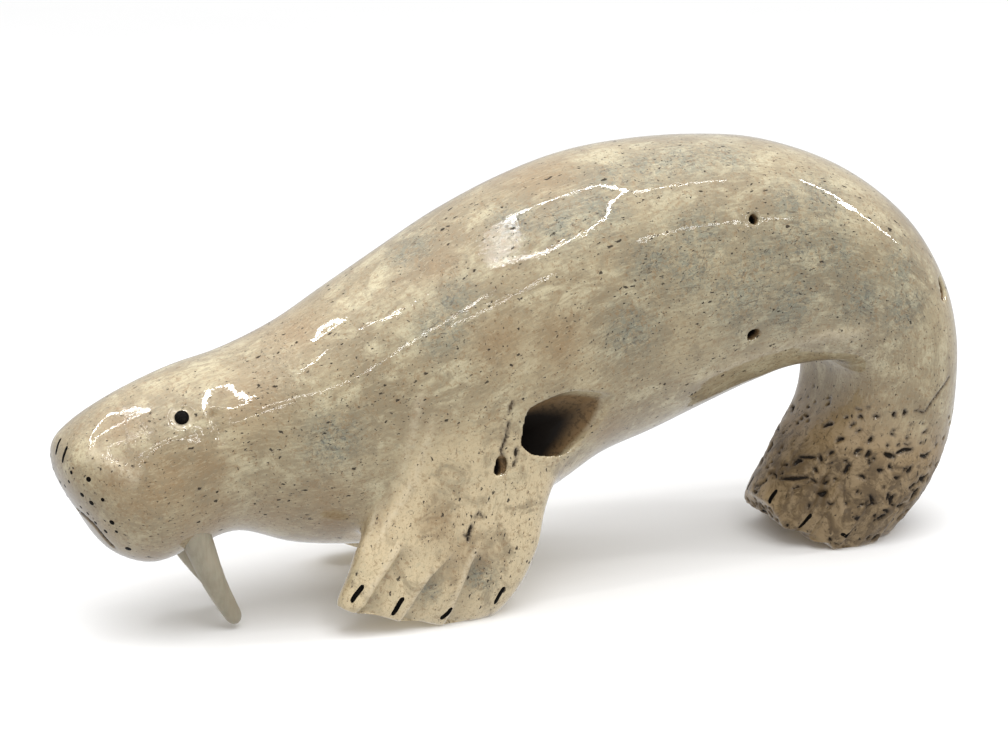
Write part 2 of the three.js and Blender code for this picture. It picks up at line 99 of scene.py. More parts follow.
# Sections of a front flipper from shoulder to toes: front edge (x, z), rear edge (x, z), and how far the
# inner and the outer face are from the middle plane.
FLIPPER = np.array([
    (-42.0, 66.0, -24.0, 68.0, 8.0, 21.0),
    (-43.8, 58.0, -17.0, 60.0, 9.0, 26.4),
    (-46.6, 45.0, -9.0, 47.0, 11.0, 29.6),
    (-51.6, 32.0, -6.0, 34.0, 14.0, 30.8),
    (-58.4, 23.6, -9.4, 22.4, 17.0, 31.4),
    (-61.0, 16.4, -12.2, 15.6, 19.0, 32.0),
    (-64.4, 10.0, -16.0, 8.4, 20.4, 32.2),
    (-65.8, 5.0, -20.4, 2.6, 21.0, 31.2),
    (-65.0, -3.0, -26.0, -3.0, 22.0, 28.0),
])
FLIPPER_ROUNDNESS = 2.6
FLIPPER_RINGS = 150
FLIPPER_SIDES = 200

# Soles in side view (x, z), from the raised front toe back to the flat ground.
FRONT_SOLE = np.array([
    (-72, 12), (-67, 9), (-62, 6.6), (-56.5, 5.8), (-50, 2.9), (-45, 2.3), (-39.5, 0), (0, 0),
])
HIND_SOLE = np.array([
    (54, 19), (60.6, 13.4), (64.4, 11.0), (66.9, 5.4), (71.4, 5.0), (73.2, 2.2), (76.9, 2.1), (78.2, 0),
    (130, 0),
])
SOLE_CUTTER_BOTTOM = -40


def operator_failed(what):
    raise RuntimeError(f"{what} could not be made")


# Curves and surfaces

def smooth_curve(knots, shares):
    """Points of a smooth curve through the knots, at shares of its length counted in knots."""
    knots = np.asarray(knots, float)
    last = len(knots) - 1
    knots = np.vstack([2 * knots[0] - knots[1], knots, 2 * knots[-1] - knots[-2]])
    at = np.clip(np.asarray(shares, float), 0, 1) * last
    i = np.minimum(at.astype(int), last - 1)
    w = (at - i)[:, None]
    a, b, c, d = (knots[i + k] for k in range(4))
    start, end = (c - a) / 2, (d - b) / 2
    return (
        (2 * w**3 - 3 * w**2 + 1) * b
        + (w**3 - 2 * w**2 + w) * start
        + (3 * w**2 - 2 * w**3) * c
        + (w**3 - w**2) * end
    )


def power(value, exponent):
    return np.sign(value) * np.abs(value) ** exponent


def smooth_step(low, high, value):
    t = np.clip((value - low) / (high - low), 0, 1)
    return t * t * (3 - 2 * t)


def trunk_frames(shares):
    """Middle, up and across vectors, half width, low and full of the trunk at shares of its length."""
    rows = smooth_curve(TRUNK, shares)
    top = np.column_stack([rows[:, 0], rows[:, 7], rows[:, 1]])
    bottom = np.column_stack([rows[:, 2], rows[:, 7], rows[:, 3]])
    plan_knots = np.column_stack([(TRUNK[:, 0] + TRUNK[:, 2]) / 2, TRUNK[:, 7]])
    ahead = smooth_curve(plan_knots, shares - 0.01)
    behind = smooth_curve(plan_knots, shares + 0.01)
    run = behind[:, 0] - ahead[:, 0]
    lean = np.where(run > 0, (behind[:, 1] - ahead[:, 1]) / np.where(run > 0, run, 1), 0)
    across = np.column_stack([-lean, np.ones_like(lean), np.zeros_like(lean)])
    across /= np.linalg.norm(across, axis=1)[:, None]
    middle = (top + bottom) / 2 + (TO_MIDDLE, 0, 0)
    return middle, (top - bottom) / 2, across, rows[:, 4], rows[:, 5], rows[:, 6]


def trunk_rings():
    shares = np.linspace(0, 1, TRUNK_RINGS + 1)
    middle, up, across, half, low, full = trunk_frames(shares)
    angle = np.linspace(0, 2 * np.pi, TRUNK_SIDES, endpoint=False)
    cos, sin = np.cos(angle)[None], np.sin(angle)[None]
    bend = 2 / np.where(cos < 0, full[:, None], ROUNDNESS)
    rise = power(cos, bend)
    aside = power(sin, bend) * half[:, None] * (1 - low[:, None] * rise)
    return middle[:, None] + up[:, None] * rise[..., None] + across[:, None] * aside[..., None]


def flipper_rings(side):
    rows = smooth_curve(FLIPPER, np.linspace(0, 1, FLIPPER_RINGS + 1))
    front, rear, inner, outer = rows[:, 0:2], rows[:, 2:4], rows[:, 4], rows[:, 5]
    angle = np.linspace(0, 2 * np.pi, FLIPPER_SIDES, endpoint=False)
    along = 0.5 + 0.5 * power(np.cos(angle), 2 / FLIPPER_ROUNDNESS)
    out = power(np.sin(angle), 2 / FLIPPER_ROUNDNESS)
    profile = front[:, None] + (rear - front)[:, None] * along[None, :, None]
    y = ((inner + outer) / 2)[:, None] + ((outer - inner) / 2)[:, None] * out[None]
    rings = np.stack([profile[..., 0] + TO_MIDDLE, y * side, profile[..., 1]], axis=-1)
    rings[..., 0] += FRONT_SET_BACK[side]
    return rings


def sole_cutter(sole, low_y, high_y, back=0.0):
    """A closed cutter that lies below a sole, between two places across the carving."""
    sole = sole + (TO_MIDDLE + back, 0)
    below = [(sole[-1, 0], SOLE_CUTTER_BOTTOM), (sole[0, 0], SOLE_CUTTER_BOTTOM)]
    outline = np.vstack([sole, below])
    count = len(outline)
    points = [(x, y, z) for y in (low_y, high_y) for x, z in outline]
    faces = [tuple(range(count)), tuple(range(2 * count - 1, count - 1, -1))]
    faces += [(i, (i + 1) % count, (i + 1) % count + count, i + count) for i in range(count)]
    return closed_object("sole_cutter", points, faces)


def ring_skin(rings):
    """Vertices and faces of a closed skin over rings of points, with a fan over each end."""
    count, sides = rings.shape[:2]
    points = np.vstack([rings.reshape(-1, 3), rings[0].mean(0), rings[-1].mean(0)])
    i, j = np.meshgrid(np.arange(count - 1), np.arange(sides), indexing="ij")
    a = i * sides + j
    b = i * sides + (j + 1) % sides
    quads = np.stack([a, b, b + sides, a + sides], -1).reshape(-1, 4)
    side = np.arange(sides)
    after = (side + 1) % sides
    first = np.column_stack([np.full(sides, count * sides), after, side])
    end = (count - 1) * sides
    last = np.column_stack([np.full(sides, count * sides + 1), end + side, end + after])
    return points, quads.tolist() + first.tolist() + last.tolist()


def mesh_object(name, points, faces):
    """A new object in metres from points in millimetres, shaded smooth."""
    mesh = bpy.data.meshes.new(name)
    mesh.from_pydata((np.asarray(points) * MM).tolist(), [], faces)
    mesh.validate()
    mesh.shade_smooth()
    piece = bpy.data.objects.new(name, mesh)
    bpy.context.scene.collection.objects.link(piece)
    return piece


def closed_object(name, points, faces):
    """A new closed object whose faces all look outwards."""
    piece = mesh_object(name, points, faces)
    work = bmesh.new()
    work.from_mesh(piece.data)
    bmesh.ops.recalc_face_normals(work, faces=work.faces)
    work.to_mesh(piece.data)
    work.free()
    return piece


def read_values(items, name, per_item, kind=np.float32):
    """One value of every item of a mesh, a row for each item."""
    flat = np.empty(len(items) * per_item, kind)
    items.foreach_get(name, flat)
    return flat.reshape(-1, per_item)


def points_of(piece):
    return read_values(piece.data.vertices, "co", 3).astype(float) / MM


def set_points(piece, points):
    piece.data.vertices.foreach_set("co", (points * MM).astype(np.float32).ravel())
    piece.data.update()


def normals_of(piece):
    return read_values(piece.data.vertex_normals, "vector", 3).astype(float)


def edges_of(piece):
    return read_values(piece.data.edges, "vertices", 2, np.int32)


def gap_from(points, place):
    """Distance of each point from one place."""
    return np.linalg.norm(points - np.asarray(place, float), axis=1)


def nearest_place(tree, place):
    return tree.find_nearest(Vector(place) * MM)[0] / MM


def relax(points, edges, amount, rounds):
    """Smooths points towards their neighbours' mean, each by its own amount."""
    a, b = edges[:, 0], edges[:, 1]
    count = np.bincount(a, minlength=len(points)) + np.bincount(b, minlength=len(points))
    amount = np.broadcast_to(amount, len(points))[:, None]
    for _ in range(rounds):
        total = np.column_stack([
            np.bincount(a, points[b, k], len(points)) + np.bincount(b, points[a, k], len(points))
            for k in range(3)
        ])
        points = points + amount * (total / count[:, None] - points)
    return points


def apply_modifier(piece, kind, **settings):
    modifier = piece.modifiers.new(kind, kind)
    for name, value in settings.items():
        setattr(modifier, name, value)
    bpy.context.view_layer.update()
    evaluated = piece.evaluated_get(bpy.context.evaluated_depsgraph_get())
    shaped = bpy.data.meshes.new_from_object(evaluated)
    piece.modifiers.clear()
    old = piece.data
    piece.data = shaped
    bpy.data.meshes.remove(old)


def distance_to_line(points, line):
    """Distance of each point to a line through the given places, and the share of the line at the nearest."""
    line = np.asarray(line, float)
    best = np.full(len(points), 1e9)
    share = np.zeros(len(points))
    for k in range(len(line) - 1):
        run = line[k + 1] - line[k]
        t = np.clip(((points - line[k]) @ run) / (run @ run), 0, 1)
        gap = np.linalg.norm(points - line[k] - t[:, None] * run, axis=1)
        nearer = gap < best
        best = np.where(nearer, gap, best)
        share = np.where(nearer, (k + t) / (len(line) - 1), share)
    return best, share


def on_side(line, side, set_back=0.0):
    """The left side's places, mirrored for the right side."""
    line = np.array(line, float)
    if side == RIGHT:
        line[..., 1] = -line[..., 1]
        line[..., 0] += set_back
    return line


# The carved places, in millimetres on the left side, as they lie on the finished surface.

MUZZLE_MIDDLE = Vector((-106 + TO_MIDDLE, -2.4, 38.5))
HEAD_TURN = 7.0
NOSTRIL_PLACES = {LEFT: (11, 26), RIGHT: (2, 28)}
WHISKER_PLACES = [
    (21, 17, 1.0), (35, 15, 1.3), (16, 10, 0.9), (5, 4, 0.9), (27, 3, 1.3), (34, -2, 1.4), (44, 2, 1.0),
    (16, -11, 1.0), (23, -15, 1.0), (28, -23, 1.1), (38, -28, 1.2), (48, -16, 1.4), (50, -24, 0.9),
    (56, -42, 1.6),
]
MOUTH_PLACES = [(0, -20), (12, -22), (22, -27), (30, -38), (37, -45)]
MOUTH_HALF_WIDTH = 0.8
MOUTH_DEPTH = 1.5
FAR_OFF = 200  # distance from which places on the carving are looked for
EYE_PLACE = (-98.6 + TO_MIDDLE, 0, 56.5)
EYE_GROOVE = (2.1, 0.6, 0.35)  # radius, half width and depth of the groove round an eye
EYE_RIM = (2.2, 0.5, 0.9)  # radius, half width and lightness of the painted highlight round an eye

# Claws: a place near the middle of each, its length, how far its top leans back from upright, and how far
# forward of the side the flipper looks there, in degrees.
FRONT_CLAWS = [
    ((-58.3, -30, 11.7), 5.4, 35, 0),
    ((-48.7, -30, 7.7), 5.6, 36, 0),
    ((-36.0, -30, 3.8), 4.4, 37, 0),
    ((-21.8, -30, 6.3), 5.4, 27, 0),
]
HIND_CLAWS = [
    ((67.8, -6.4, 13.2), 4.6, 32, 52),
    ((73.0, -15.0, 8.0), 5.4, 40, 40),
    ((84.4, -19.8, 5.4), 4.6, 38, 25),
    ((97.8, -18.6, 4.6), 5.2, 34, 0),
]

# Crests between the toes, from the web down to the edge of the flipper. Behind each one the face steps in.
FRONT_TOE_CRESTS = [
    [(-46.4, -30.3, 24.0), (-47.9, -30.3, 21.4), (-50.2, -30.6, 18.2), (-53.3, -30.6, 14.3),
     (-57.2, -30.5, 8.6)],
    [(-34.0, -30.2, 20.6), (-36.6, -30.6, 17.4), (-40.4, -32.0, 14.3), (-44.1, -32.0, 9.6),
     (-48.2, -31.2, 3.0)],
    [(-26.5, -31.5, 21.6), (-29.5, -31.9, 16.6), (-31.4, -32.1, 12.2), (-33.7, -31.9, 7.3),
     (-36.0, -30.8, 1.0)],
]
HIND_TOE_CRESTS = [
    [(82.4, -15.2, 26.7), (80.2, -14.5, 23.9), (77.7, -14.4, 19.1), (75.2, -14.8, 13.9), (70.6, -13.6, 5.4)],
    [(83.3, -18.5, 18.6), (81.3, -17.8, 16.9), (78.8, -16.6, 13.4), (75.7, -15.3, 8.9), (73.4, -15.0, 4.2)],
    [(90.7, -21.7, 16.4), (88.8, -21.0, 13.6), (86.4, -20.2, 9.9), (84.0, -19.4, 5.7), (82.0, -19.0, 1.6)],
    [(101.0, -21.5, 14.0), (98.6, -20.8, 10.0), (96.0, -20.0, 5.0), (94.5, -19.0, 1.0)],
]

# Tendons that run down the front edge of the shoulder.
TENDONS = [
    [(-38.6, -26.0, 60.5), (-41.2, -26.1, 55.5), (-42.9, -26.2, 47.7), (-45.2, -25.2, 38.3),
     (-48.4, -24.5, 32.4), (-52.0, -24.6, 28.6), (-55.4, -25.6, 23.5), (-57.6, -26.4, 18.0)],
    [(-36.6, -26.6, 55.0), (-40.4, -27.1, 43.9), (-43.3, -27.7, 36.8), (-46.8, -27.3, 31.3),
     (-50.7, -28.0, 26.4), (-54.0, -28.5, 21.0)],
]
EAR = [(-89.9, -16.2, 58.4), (-90.3, -17.7, 55.6), (-89.6, -18.8, 53.0)]
SOFT_RIDGES = [
    ([(-119.4, -12.7, 50.0), (-116.0, -16.2, 48.4), (-111.5, -18.8, 46.2), (-106.9, -20.5, 42.7)], 0.45, 2.2),
    ([(30.0, -24.4, 51.0), (48.0, -24.6, 56.4), (60.0, -24.6, 58.8), (72.0, -24.6, 62.0),
      (88.0, -24.0, 62.0)], 0.45, 2.0),
]
FACE_BOWLS = [
    ((-99.5, -20.4, 45.6), 4.6, 0.7),
    ((-94.0, -19.8, 53.0), 3.0, 0.3),
    ((-112.8, -17.5, 48.6), 1.8, 0.3),
]

# The nerve canal: the outline of its mouth, the way it runs into the bone and how it narrows with depth.
CANAL_MOUTH = [
    (-15.3, -28.8, 46.0), (-13.8, -29.0, 51.5), (-11.0, -29.2, 54.0), (-2.5, -29.2, 56.4),
    (4.6, -28.5, 55.4), (9.0, -27.8, 54.0), (9.4, -27.2, 52.4), (6.6, -26.0, 46.2), (0.5, -25.7, 40.4),
    (-4.6, -26.2, 39.1), (-11.6, -28.9, 41.3), (-14.9, -29.0, 43.6),
]
CANAL_WAY = Vector((-0.731, 0.56, -0.39))
CANAL_DEPTHS = [(-12, 1.0), (0, 1.0), (5, 0.97), (11, 0.86), (18, 0.72), (27, 0.6), (38, 0.5)]

# Small natural holes: place on the surface, way in, half length, half width, depth and lean of the mouth.
SMALL_HOLES = [
    {"at": (49.7, -24.2, 94.4), "way": (0.0, 0.92, -0.39), "long": 1.35, "wide": 1.2, "deep": 7, "lean": 0},
    {"at": (50.0, -25.6, 64.7), "way": (-0.2, 0.97, 0.1), "long": 1.9, "wide": 1.4, "deep": 8, "lean": 75},
    {"at": (110.6, -19.0, 69.8), "way": (-0.75, 0.6, -0.2), "long": 3.4, "wide": 1.7, "deep": 9, "lean": 8},
    {"at": (-21.3, -30.2, 39.6), "way": (-0.3, 0.85, -0.42), "long": 2.2, "wide": 1.25, "deep": 8,
     "lean": 14},
]

# Grooves and chips that are worn into the surface: line, half width and depth.
WORN_GROOVES = [
    ([(-21.2, -30.2, 40.4), (-20.8, -29.8, 43.3), (-19.3, -29.3, 46.8), (-18.6, -28.8, 50.0)], 0.24, 0.7),
    ([(-21.3, -30.2, 38.4), (-21.0, -30.2, 41.0)], 0.7, 1.6),
    ([(-18.4, -28.8, 52.8), (-17.6, -29.0, 55.2)], 0.35, 0.35),
    ([(-16.7, -29.7, 43.2), (-16.9, -29.7, 41.4)], 0.42, 0.9),
    ([(-17.0, -29.7, 40.4), (-17.8, -29.7, 39.2)], 0.25, 0.6),
    ([(-29.2, -31.3, 25.6), (-29.9, -31.4, 23.9), (-30.3, -31.4, 22.0)], 0.4, 1.0),
    ([(-31.2, -31.4, 23.6), (-29.8, -31.4, 23.2)], 0.2, 0.5),
    ([(-28.4, -31.1, 27.3), (-27.3, -31.1, 28.6), (-26.2, -31.1, 27.4)], 0.22, 0.4),
    ([(113.5, -19.7, 45.4), (109.7, -21.0, 42.1), (107.1, -21.3, 39.6), (105.0, -21.4, 36.8)], 0.22, 0.5),
    ([(105.0, -21.4, 36.8), (101.8, -21.5, 37.8)], 0.22, 0.4),
]

# Slits of the coarse hind end: place, length, half width and how far the slit leans up towards the rear.
HIND_SLITS = [
    ((76.4, -9.2, 24.2), 4.6, 0.42, 8), ((72.9, -8.8, 18.6), 8.0, 0.5, 12),
    ((72.0, -8.8, 24.0), 2.2, 0.7, 40), ((99.4, -21.4, 26.5), 4.6, 0.55, 5),
    ((94.8, -21.4, 26.0), 2.6, 0.7, -20), ((88.4, -21.0, 26.8), 1.6, 0.6, 60),
    ((83.3, -14.5, 29.8), 1.5, 0.5, 30), ((86.7, -18.2, 27.1), 2.0, 0.5, 35),
    ((92.1, -21.1, 22.2), 1.2, 0.5, 0), ((101.2, -21.4, 21.2), 1.8, 0.6, 40),
    ((107.6, -19.3, 17.5), 2.6, 1.0, 10), ((89.7, -19.2, 30.4), 1.4, 0.5, 50),
    ((95.8, -21.1, 37.2), 1.0, 0.5, 90), ((82.4, -9.3, 32.6), 2.6, 0.55, 30),
    ((96.0, -22.0, 13.5), 2.4, 0.7, 60), ((103.2, -20.7, 16.2), 1.4, 0.5, 20),
    ((89.7, -21.6, 14.2), 2.8, 0.6, -65), ((98.6, -21.0, 37.6), 1.3, 0.45, 80),
    ((90.6, -20.4, 37.0), 1.0, 0.4, 0), ((86.4, -18.0, 36.6), 0.9, 0.4, 0),
    ((79.6, -13.0, 14.6), 1.8, 0.7, 20), ((104.6, -20.0, 13.0), 3.0, 0.9, 50),
    ((93.2, -21.6, 8.6), 2.0, 0.6, 30), ((101.4, -20.6, 9.0), 2.2, 0.7, 70),
    ((86.0, -20.0, 9.6), 1.6, 0.6, 10), ((106.4, -19.6, 24.6), 3.4, 0.5, 2),
    ((83.6, -17.6, 22.4), 1.8, 0.6, 65),
]

# Small pits scattered over the hind end: how many on a side, how far round it, along it and up it they lie,
# and how far they keep away from the claws.
HIND_PIT_COUNT = 190
HIND_PIT_ROUND = 95
HIND_PIT_ALONG = (62, 117)
HIND_PIT_UP = (1.5, 43.5)
HIND_PIT_CLAW_GAP = 4
HIND_PIT_START = 60  # distance from which each pit is looked for


def side_distance(points, line):
    """Distance in side view from a line that runs down: positive behind it, negative ahead of it."""
    flat = points[:, [0, 2]]
    line = np.asarray(line, float)[:, [0, 2]]
    best = np.full(len(flat), 1e9)
    signed = np.zeros(len(flat))
    for a, b in zip(line[:-1], line[1:]):
        run = b - a
        t = np.clip(((flat - a) @ run) / (run @ run), 0, 1)
        gap = np.linalg.norm(flat - a - t[:, None] * run, axis=1)
        behind = (flat[:, 1] - a[1]) * run[0] - (flat[:, 0] - a[0]) * run[1]
        nearer = gap < best
        best = np.where(nearer, gap, best)
        signed = np.where(nearer, np.sign(behind) * gap, signed)
    return signed


def flute(points, normals, crest, depth, run, sharp=0.9):
    """How the face steps in behind a crest: steep at the crest, and run out again towards the rear."""
    offset = side_distance(points, crest)
    step = smooth_step(0, sharp, offset) * (1 - smooth_step(sharp, run, offset))
    lip = np.exp(-(((offset + 0.5) / 0.9) ** 2)) * 0.22
    gap, along = distance_to_line(points, crest)
    within = smooth_step(0, 0.35, along) * (1 - smooth_step(run, run + 3, gap))
    share = within * (lip - step)
    out = (normals * (share != 0)[:, None] * (gap < 2.5)[:, None]).sum(0)
    out /= max(np.linalg.norm(out), 1e-6)
    return (depth * share * smooth_step(0.25, 0.6, normals @ out))[:, None] * out


def rise_along(points, line, height, width):
    """A soft ridge, or a groove with a negative height, that fades out at both ends of its line."""
    gap, share = distance_to_line(points, line)
    ends = smooth_step(0, 0.15, share) * (1 - smooth_step(0.85, 1, share))
    return height * np.exp(-((gap / width) ** 2)) * ends


def bowl(points, at, radius, depth):
    return -depth * np.exp(-((gap_from(points, at) / radius) ** 2))


def ring(points, middle, radius, width, height):
    """A soft raised ring round a place."""
    return height * np.exp(-(((gap_from(points, middle) - radius) / width) ** 2))


def on_surface(tree, line):
    """The same line, with each of its places moved to the nearest of the surface."""
    return [tuple(nearest_place(tree, place)) for place in line]


def worn_marks(tree):
    """Lines on the surface with a half width and a depth: grooves, chips, slits and pits, and the mouth."""
    marks = [(on_surface(tree, line), width, depth) for line, width, depth in WORN_GROOVES]
    mouth = [from_muzzle(tree, aside, up, LEFT)[0] for aside, up in reversed(MOUTH_PLACES)]
    mouth += [from_muzzle(tree, aside, up, RIGHT)[0] for aside, up in MOUTH_PLACES[1:]]
    marks.append(([tuple(p) for p in mouth], MOUTH_HALF_WIDTH, MOUTH_DEPTH))
    for side in SIDES:
        chance = np.random.default_rng(40 + side)
        marks += hind_slits(tree, side, chance) + hind_pits(tree, side, chance)
    return marks


def hind_slits(tree, side, chance):
    """The slits of one side. The right side's are moved and turned a little, so the sides differ."""
    slits = []
    for (x, y, z), length, width, lean in HIND_SLITS:
        if side == RIGHT:
            x, z = x + chance.uniform(-3, 3), z + chance.uniform(-2, 2)
            lean += chance.uniform(-30, 30)
        spot, normal, _, _ = tree.find_nearest(Vector((x, -y if side == RIGHT else y, z)) * MM)
        slits.append(slit(tree, spot / MM, normal, length, width, lean, chance))
    return slits


def hind_pits(tree, side, chance):
    """Scattered pits of one side, fewer and smaller further up."""
    pits = []
    low, high = HIND_PIT_UP
    for _ in range(HIND_PIT_COUNT):
        looks = np.radians(chance.uniform(-HIND_PIT_ROUND, HIND_PIT_ROUND))
        rise = 1 - np.sqrt(1 - chance.random())
        x = chance.uniform(*HIND_PIT_ALONG)
        spot = Vector((x, side * HIND_PIT_START * np.cos(looks), low + (high - low) * rise))
        spot.x += -HIND_PIT_START * np.sin(looks)
        way = Vector((np.sin(looks), -side * np.cos(looks), 0))
        hit, normal, _, _ = tree.ray_cast(spot * MM, way)
        if hit is None or hit.x / MM < 60 or from_claws(np.array([hit / MM]))[0] < HIND_PIT_CLAW_GAP:
            continue
        small = chance.random()
        length = (0.5 + 2.4 * small**2) * (1 - 0.4 * rise)
        width = chance.uniform(0.25, 0.6) * (1 - 0.5 * rise)
        pits.append(slit(tree, hit / MM, normal, length, width, chance.normal(15, 45), chance))
    return pits


def slit(tree, middle, normal, length, width, lean, chance):
    """A short bent line on the surface, with its half width and depth."""
    up = Vector((0, 0, 1)) - Vector(normal) * normal[2]
    up.normalize()
    rear = up.cross(Vector(normal))
    if rear.x < 0:
        rear = -rear
    angle = np.radians(lean)
    way = rear * np.cos(angle) + up * np.sin(angle)
    bend = way.cross(Vector(normal)) * chance.uniform(-0.3, 0.3) * length
    line = [middle - way * length / 2, middle + bend, middle + way * length / 2]
    return on_surface(tree, line), width, 0.5 + width * 1.1


def nearest_mark(points, marks):
    """How far each point is outside of the nearest mark's edge, and how deep the marks go there."""
    edge = np.full(len(points), 2.0)
    deep = np.zeros(len(points))
    for line, width, depth in marks:
        line = np.asarray(line, float)
        low, high = line.min(0) - width - 2, line.max(0) + width + 2
        near = np.flatnonzero(((points > low) & (points < high)).all(1))
        if len(near) == 0:
            continue
        gap, share = distance_to_line(points[near], line)
        pointed = 1 - 0.35 * np.abs(2 * share - 1) ** 2
        away = gap - width * pointed
        edge[near] = np.minimum(edge[near], away)
        deep[near] = np.maximum(deep[near], depth * (1 - smooth_step(-0.75 * width, 0.3, away)))
    return edge, deep


def ray(tree, origin, way):
    """Where a ray meets a surface, in millimetres, with the outward normal there."""
    hit, normal, _, _ = tree.ray_cast(Vector(origin) * MM, Vector(way).normalized())
    if hit is None:
        operator_failed("a place on the carving")
    return hit / MM, normal


def from_side(tree, place, side, looks=0.0):
    """A place on the surface, seen from the side or from up to 90 degrees ahead of it."""
    x, y, z = place
    angle = np.radians(looks)
    out = Vector((-np.sin(angle), side * np.cos(angle), 0))
    return ray(tree, Vector((x, -side * y, z)) + out * FAR_OFF, -out)


def from_muzzle(tree, aside, up, side):
    """A place on the face by its direction from the middle of the muzzle."""
    a = np.radians(HEAD_TURN - side * aside)
    e = np.radians(up)
    out = Vector((-np.cos(a) * np.cos(e), -np.sin(a) * np.cos(e), np.sin(e)))
    return ray(tree, MUZZLE_MIDDLE + out * FAR_OFF, -out)


def surface_tree(piece):
    return BVHTree.FromObject(piece, bpy.context.evaluated_depsgraph_get())


def plug(name, rings):
    """A closed cutter from rings of points."""
    return closed_object(name, *ring_skin(np.asarray(rings, float)))


def canal_cutter():
    mouth = np.array(CANAL_MOUTH)
    closed = np.vstack([mouth[-1:], mouth, mouth[:2]])
    shares = (np.arange(60) / 60 * len(mouth) + 1) / (len(closed) - 1)
    outline = smooth_curve(closed, shares)
    middle = outline.mean(0)
    way = np.array(CANAL_WAY)
    deep = middle + (0, 0, -1.5)
    rings = []
    for depth, scale in CANAL_DEPTHS:
        centre = deep if depth > 10 else middle
        rings.append(centre + (outline - middle) * scale + way * depth)
    return plug("canal_cutter", rings)


def hole_cutter(hole):
    way = Vector(hole["way"]).normalized()
    upright = Vector((0, 0, 1))
    side = way.cross(upright).normalized()
    upright = side.cross(way)
    lean = np.radians(hole["lean"])
    angle = np.linspace(0, 2 * np.pi, 24, endpoint=False)
    wobble = 1 + 0.08 * np.sin(3 * angle + hole["deep"]) + 0.05 * np.sin(5 * angle)
    a = np.cos(angle) * hole["long"] * wobble
    b = np.sin(angle) * hole["wide"] * wobble
    along = a * np.cos(lean) - b * np.sin(lean)
    aside = a * np.sin(lean) + b * np.cos(lean)
    flat = along[:, None] * np.array(upright) + aside[:, None] * np.array(side)
    levels = [(-3, 1.5), (-0.6, 1.25), (0.5, 1.0), (hole["deep"] * 0.6, 0.85), (hole["deep"], 0.4)]
    rings = [np.array(hole["at"]) + flat * scale + np.array(way) * depth for depth, scale in levels]
    return plug("hole_cutter", rings)


def blank_carving():
    """The trunk and the front flippers as one closed surface, before any carving in it."""
    points, faces = ring_skin(trunk_rings())
    for side in SIDES:
        more, more_faces = ring_skin(flipper_rings(side))
        faces += [tuple(i + len(points) for i in face) for face in more_faces]
        points = np.vstack([points, more])
    return closed_object("carved_bone", points, faces)


def soften_joins(points, edges, sizes):
    """Lets the shoulders flow into the flippers, and the belly into the hind end."""
    x, y, z = points.T
    amount = np.zeros(len(points))
    for side in SIDES:
        back = FRONT_SET_BACK[side]
        wing = smooth_step(-66, -56, x - back) * (1 - smooth_step(0, 12, x - back))
        shoulder = wing * smooth_step(17, 26, z) * (1 - smooth_step(66, 76, z)) * (y * side > 2)
        amount = np.maximum(amount, shoulder)
    crotch = smooth_step(60, 68, x) * (1 - smooth_step(96, 104, x))
    crotch *= smooth_step(30, 40, z) * (1 - smooth_step(62, 72, z))
    amount = np.maximum(amount, crotch)
    return relax(points, edges, amount * 0.6, sizes.join_rounds)


def coarse_share(points):
    """How much of each point belongs to the coarse bone of the hind end."""
    x, _, z = points.T
    return smooth_step(60, 70, x) * (1 - smooth_step(20, 46, z + 0.25 * (x - 90)))


def from_claws(points):
    """How far each point is from the nearest claw of the hind flippers."""
    places = [(x, -y * side, z) for (x, y, z), *_ in HIND_CLAWS for side in SIDES]
    return np.min([gap_from(points, place) for place in places], axis=0)


def knobs(points, height):
    """The coarse hind end bulges and sinks by a few tenths of a millimetre, but for its sole and claws."""
    share = coarse_share(points) * smooth_step(0.4, 3, points[:, 2])
    share *= smooth_step(2.5, 5.5, from_claws(points))
    move = np.zeros(len(points))
    for i in np.flatnonzero(share > 0.02):
        move[i] = noise.fractal(Vector(points[i]) * 0.21, 0.7, 2.1, 3)
    return height * share * move


def carve(points, normals, tree, marks, sizes):
    """Moves the surface in and out for the toes, tendons, face and worn places."""
    shift = np.zeros_like(points)
    move = np.zeros(len(points))
    for side in SIDES:
        back = FRONT_SET_BACK[side]
        own = np.flatnonzero(points[:, 1] * side > 0)
        for crest in FRONT_TOE_CRESTS:
            line = on_side(crest, side, back)
            shift[own] += flute(points[own], normals[own], line, sizes.toe_step, 8.0)
        for crest in HIND_TOE_CRESTS:
            line = on_side(crest, side)
            shift[own] += flute(points[own], normals[own], line, sizes.toe_step * 1.1, 6.5)
        shift[own] += flute(points[own], normals[own], on_side(EAR, side), 0.75, 5.0, 0.7)
        for line in TENDONS:
            move += rise_along(points, on_side(line, side, back), sizes.tendon, 1.2)
        for line, height, width in SOFT_RIDGES:
            move += rise_along(points, on_side(line, side), height, width)
        for at, radius, depth in FACE_BOWLS:
            move += bowl(points, on_side(at, side), radius, depth)
        eye, _ = from_side(tree, EYE_PLACE, side)
        move -= ring(points, eye, *EYE_GROOVE)
    _, deep = nearest_mark(points, marks)
    move += knobs(points, sizes.knob)
    return points + shift + normals * (move - deep)[:, None]


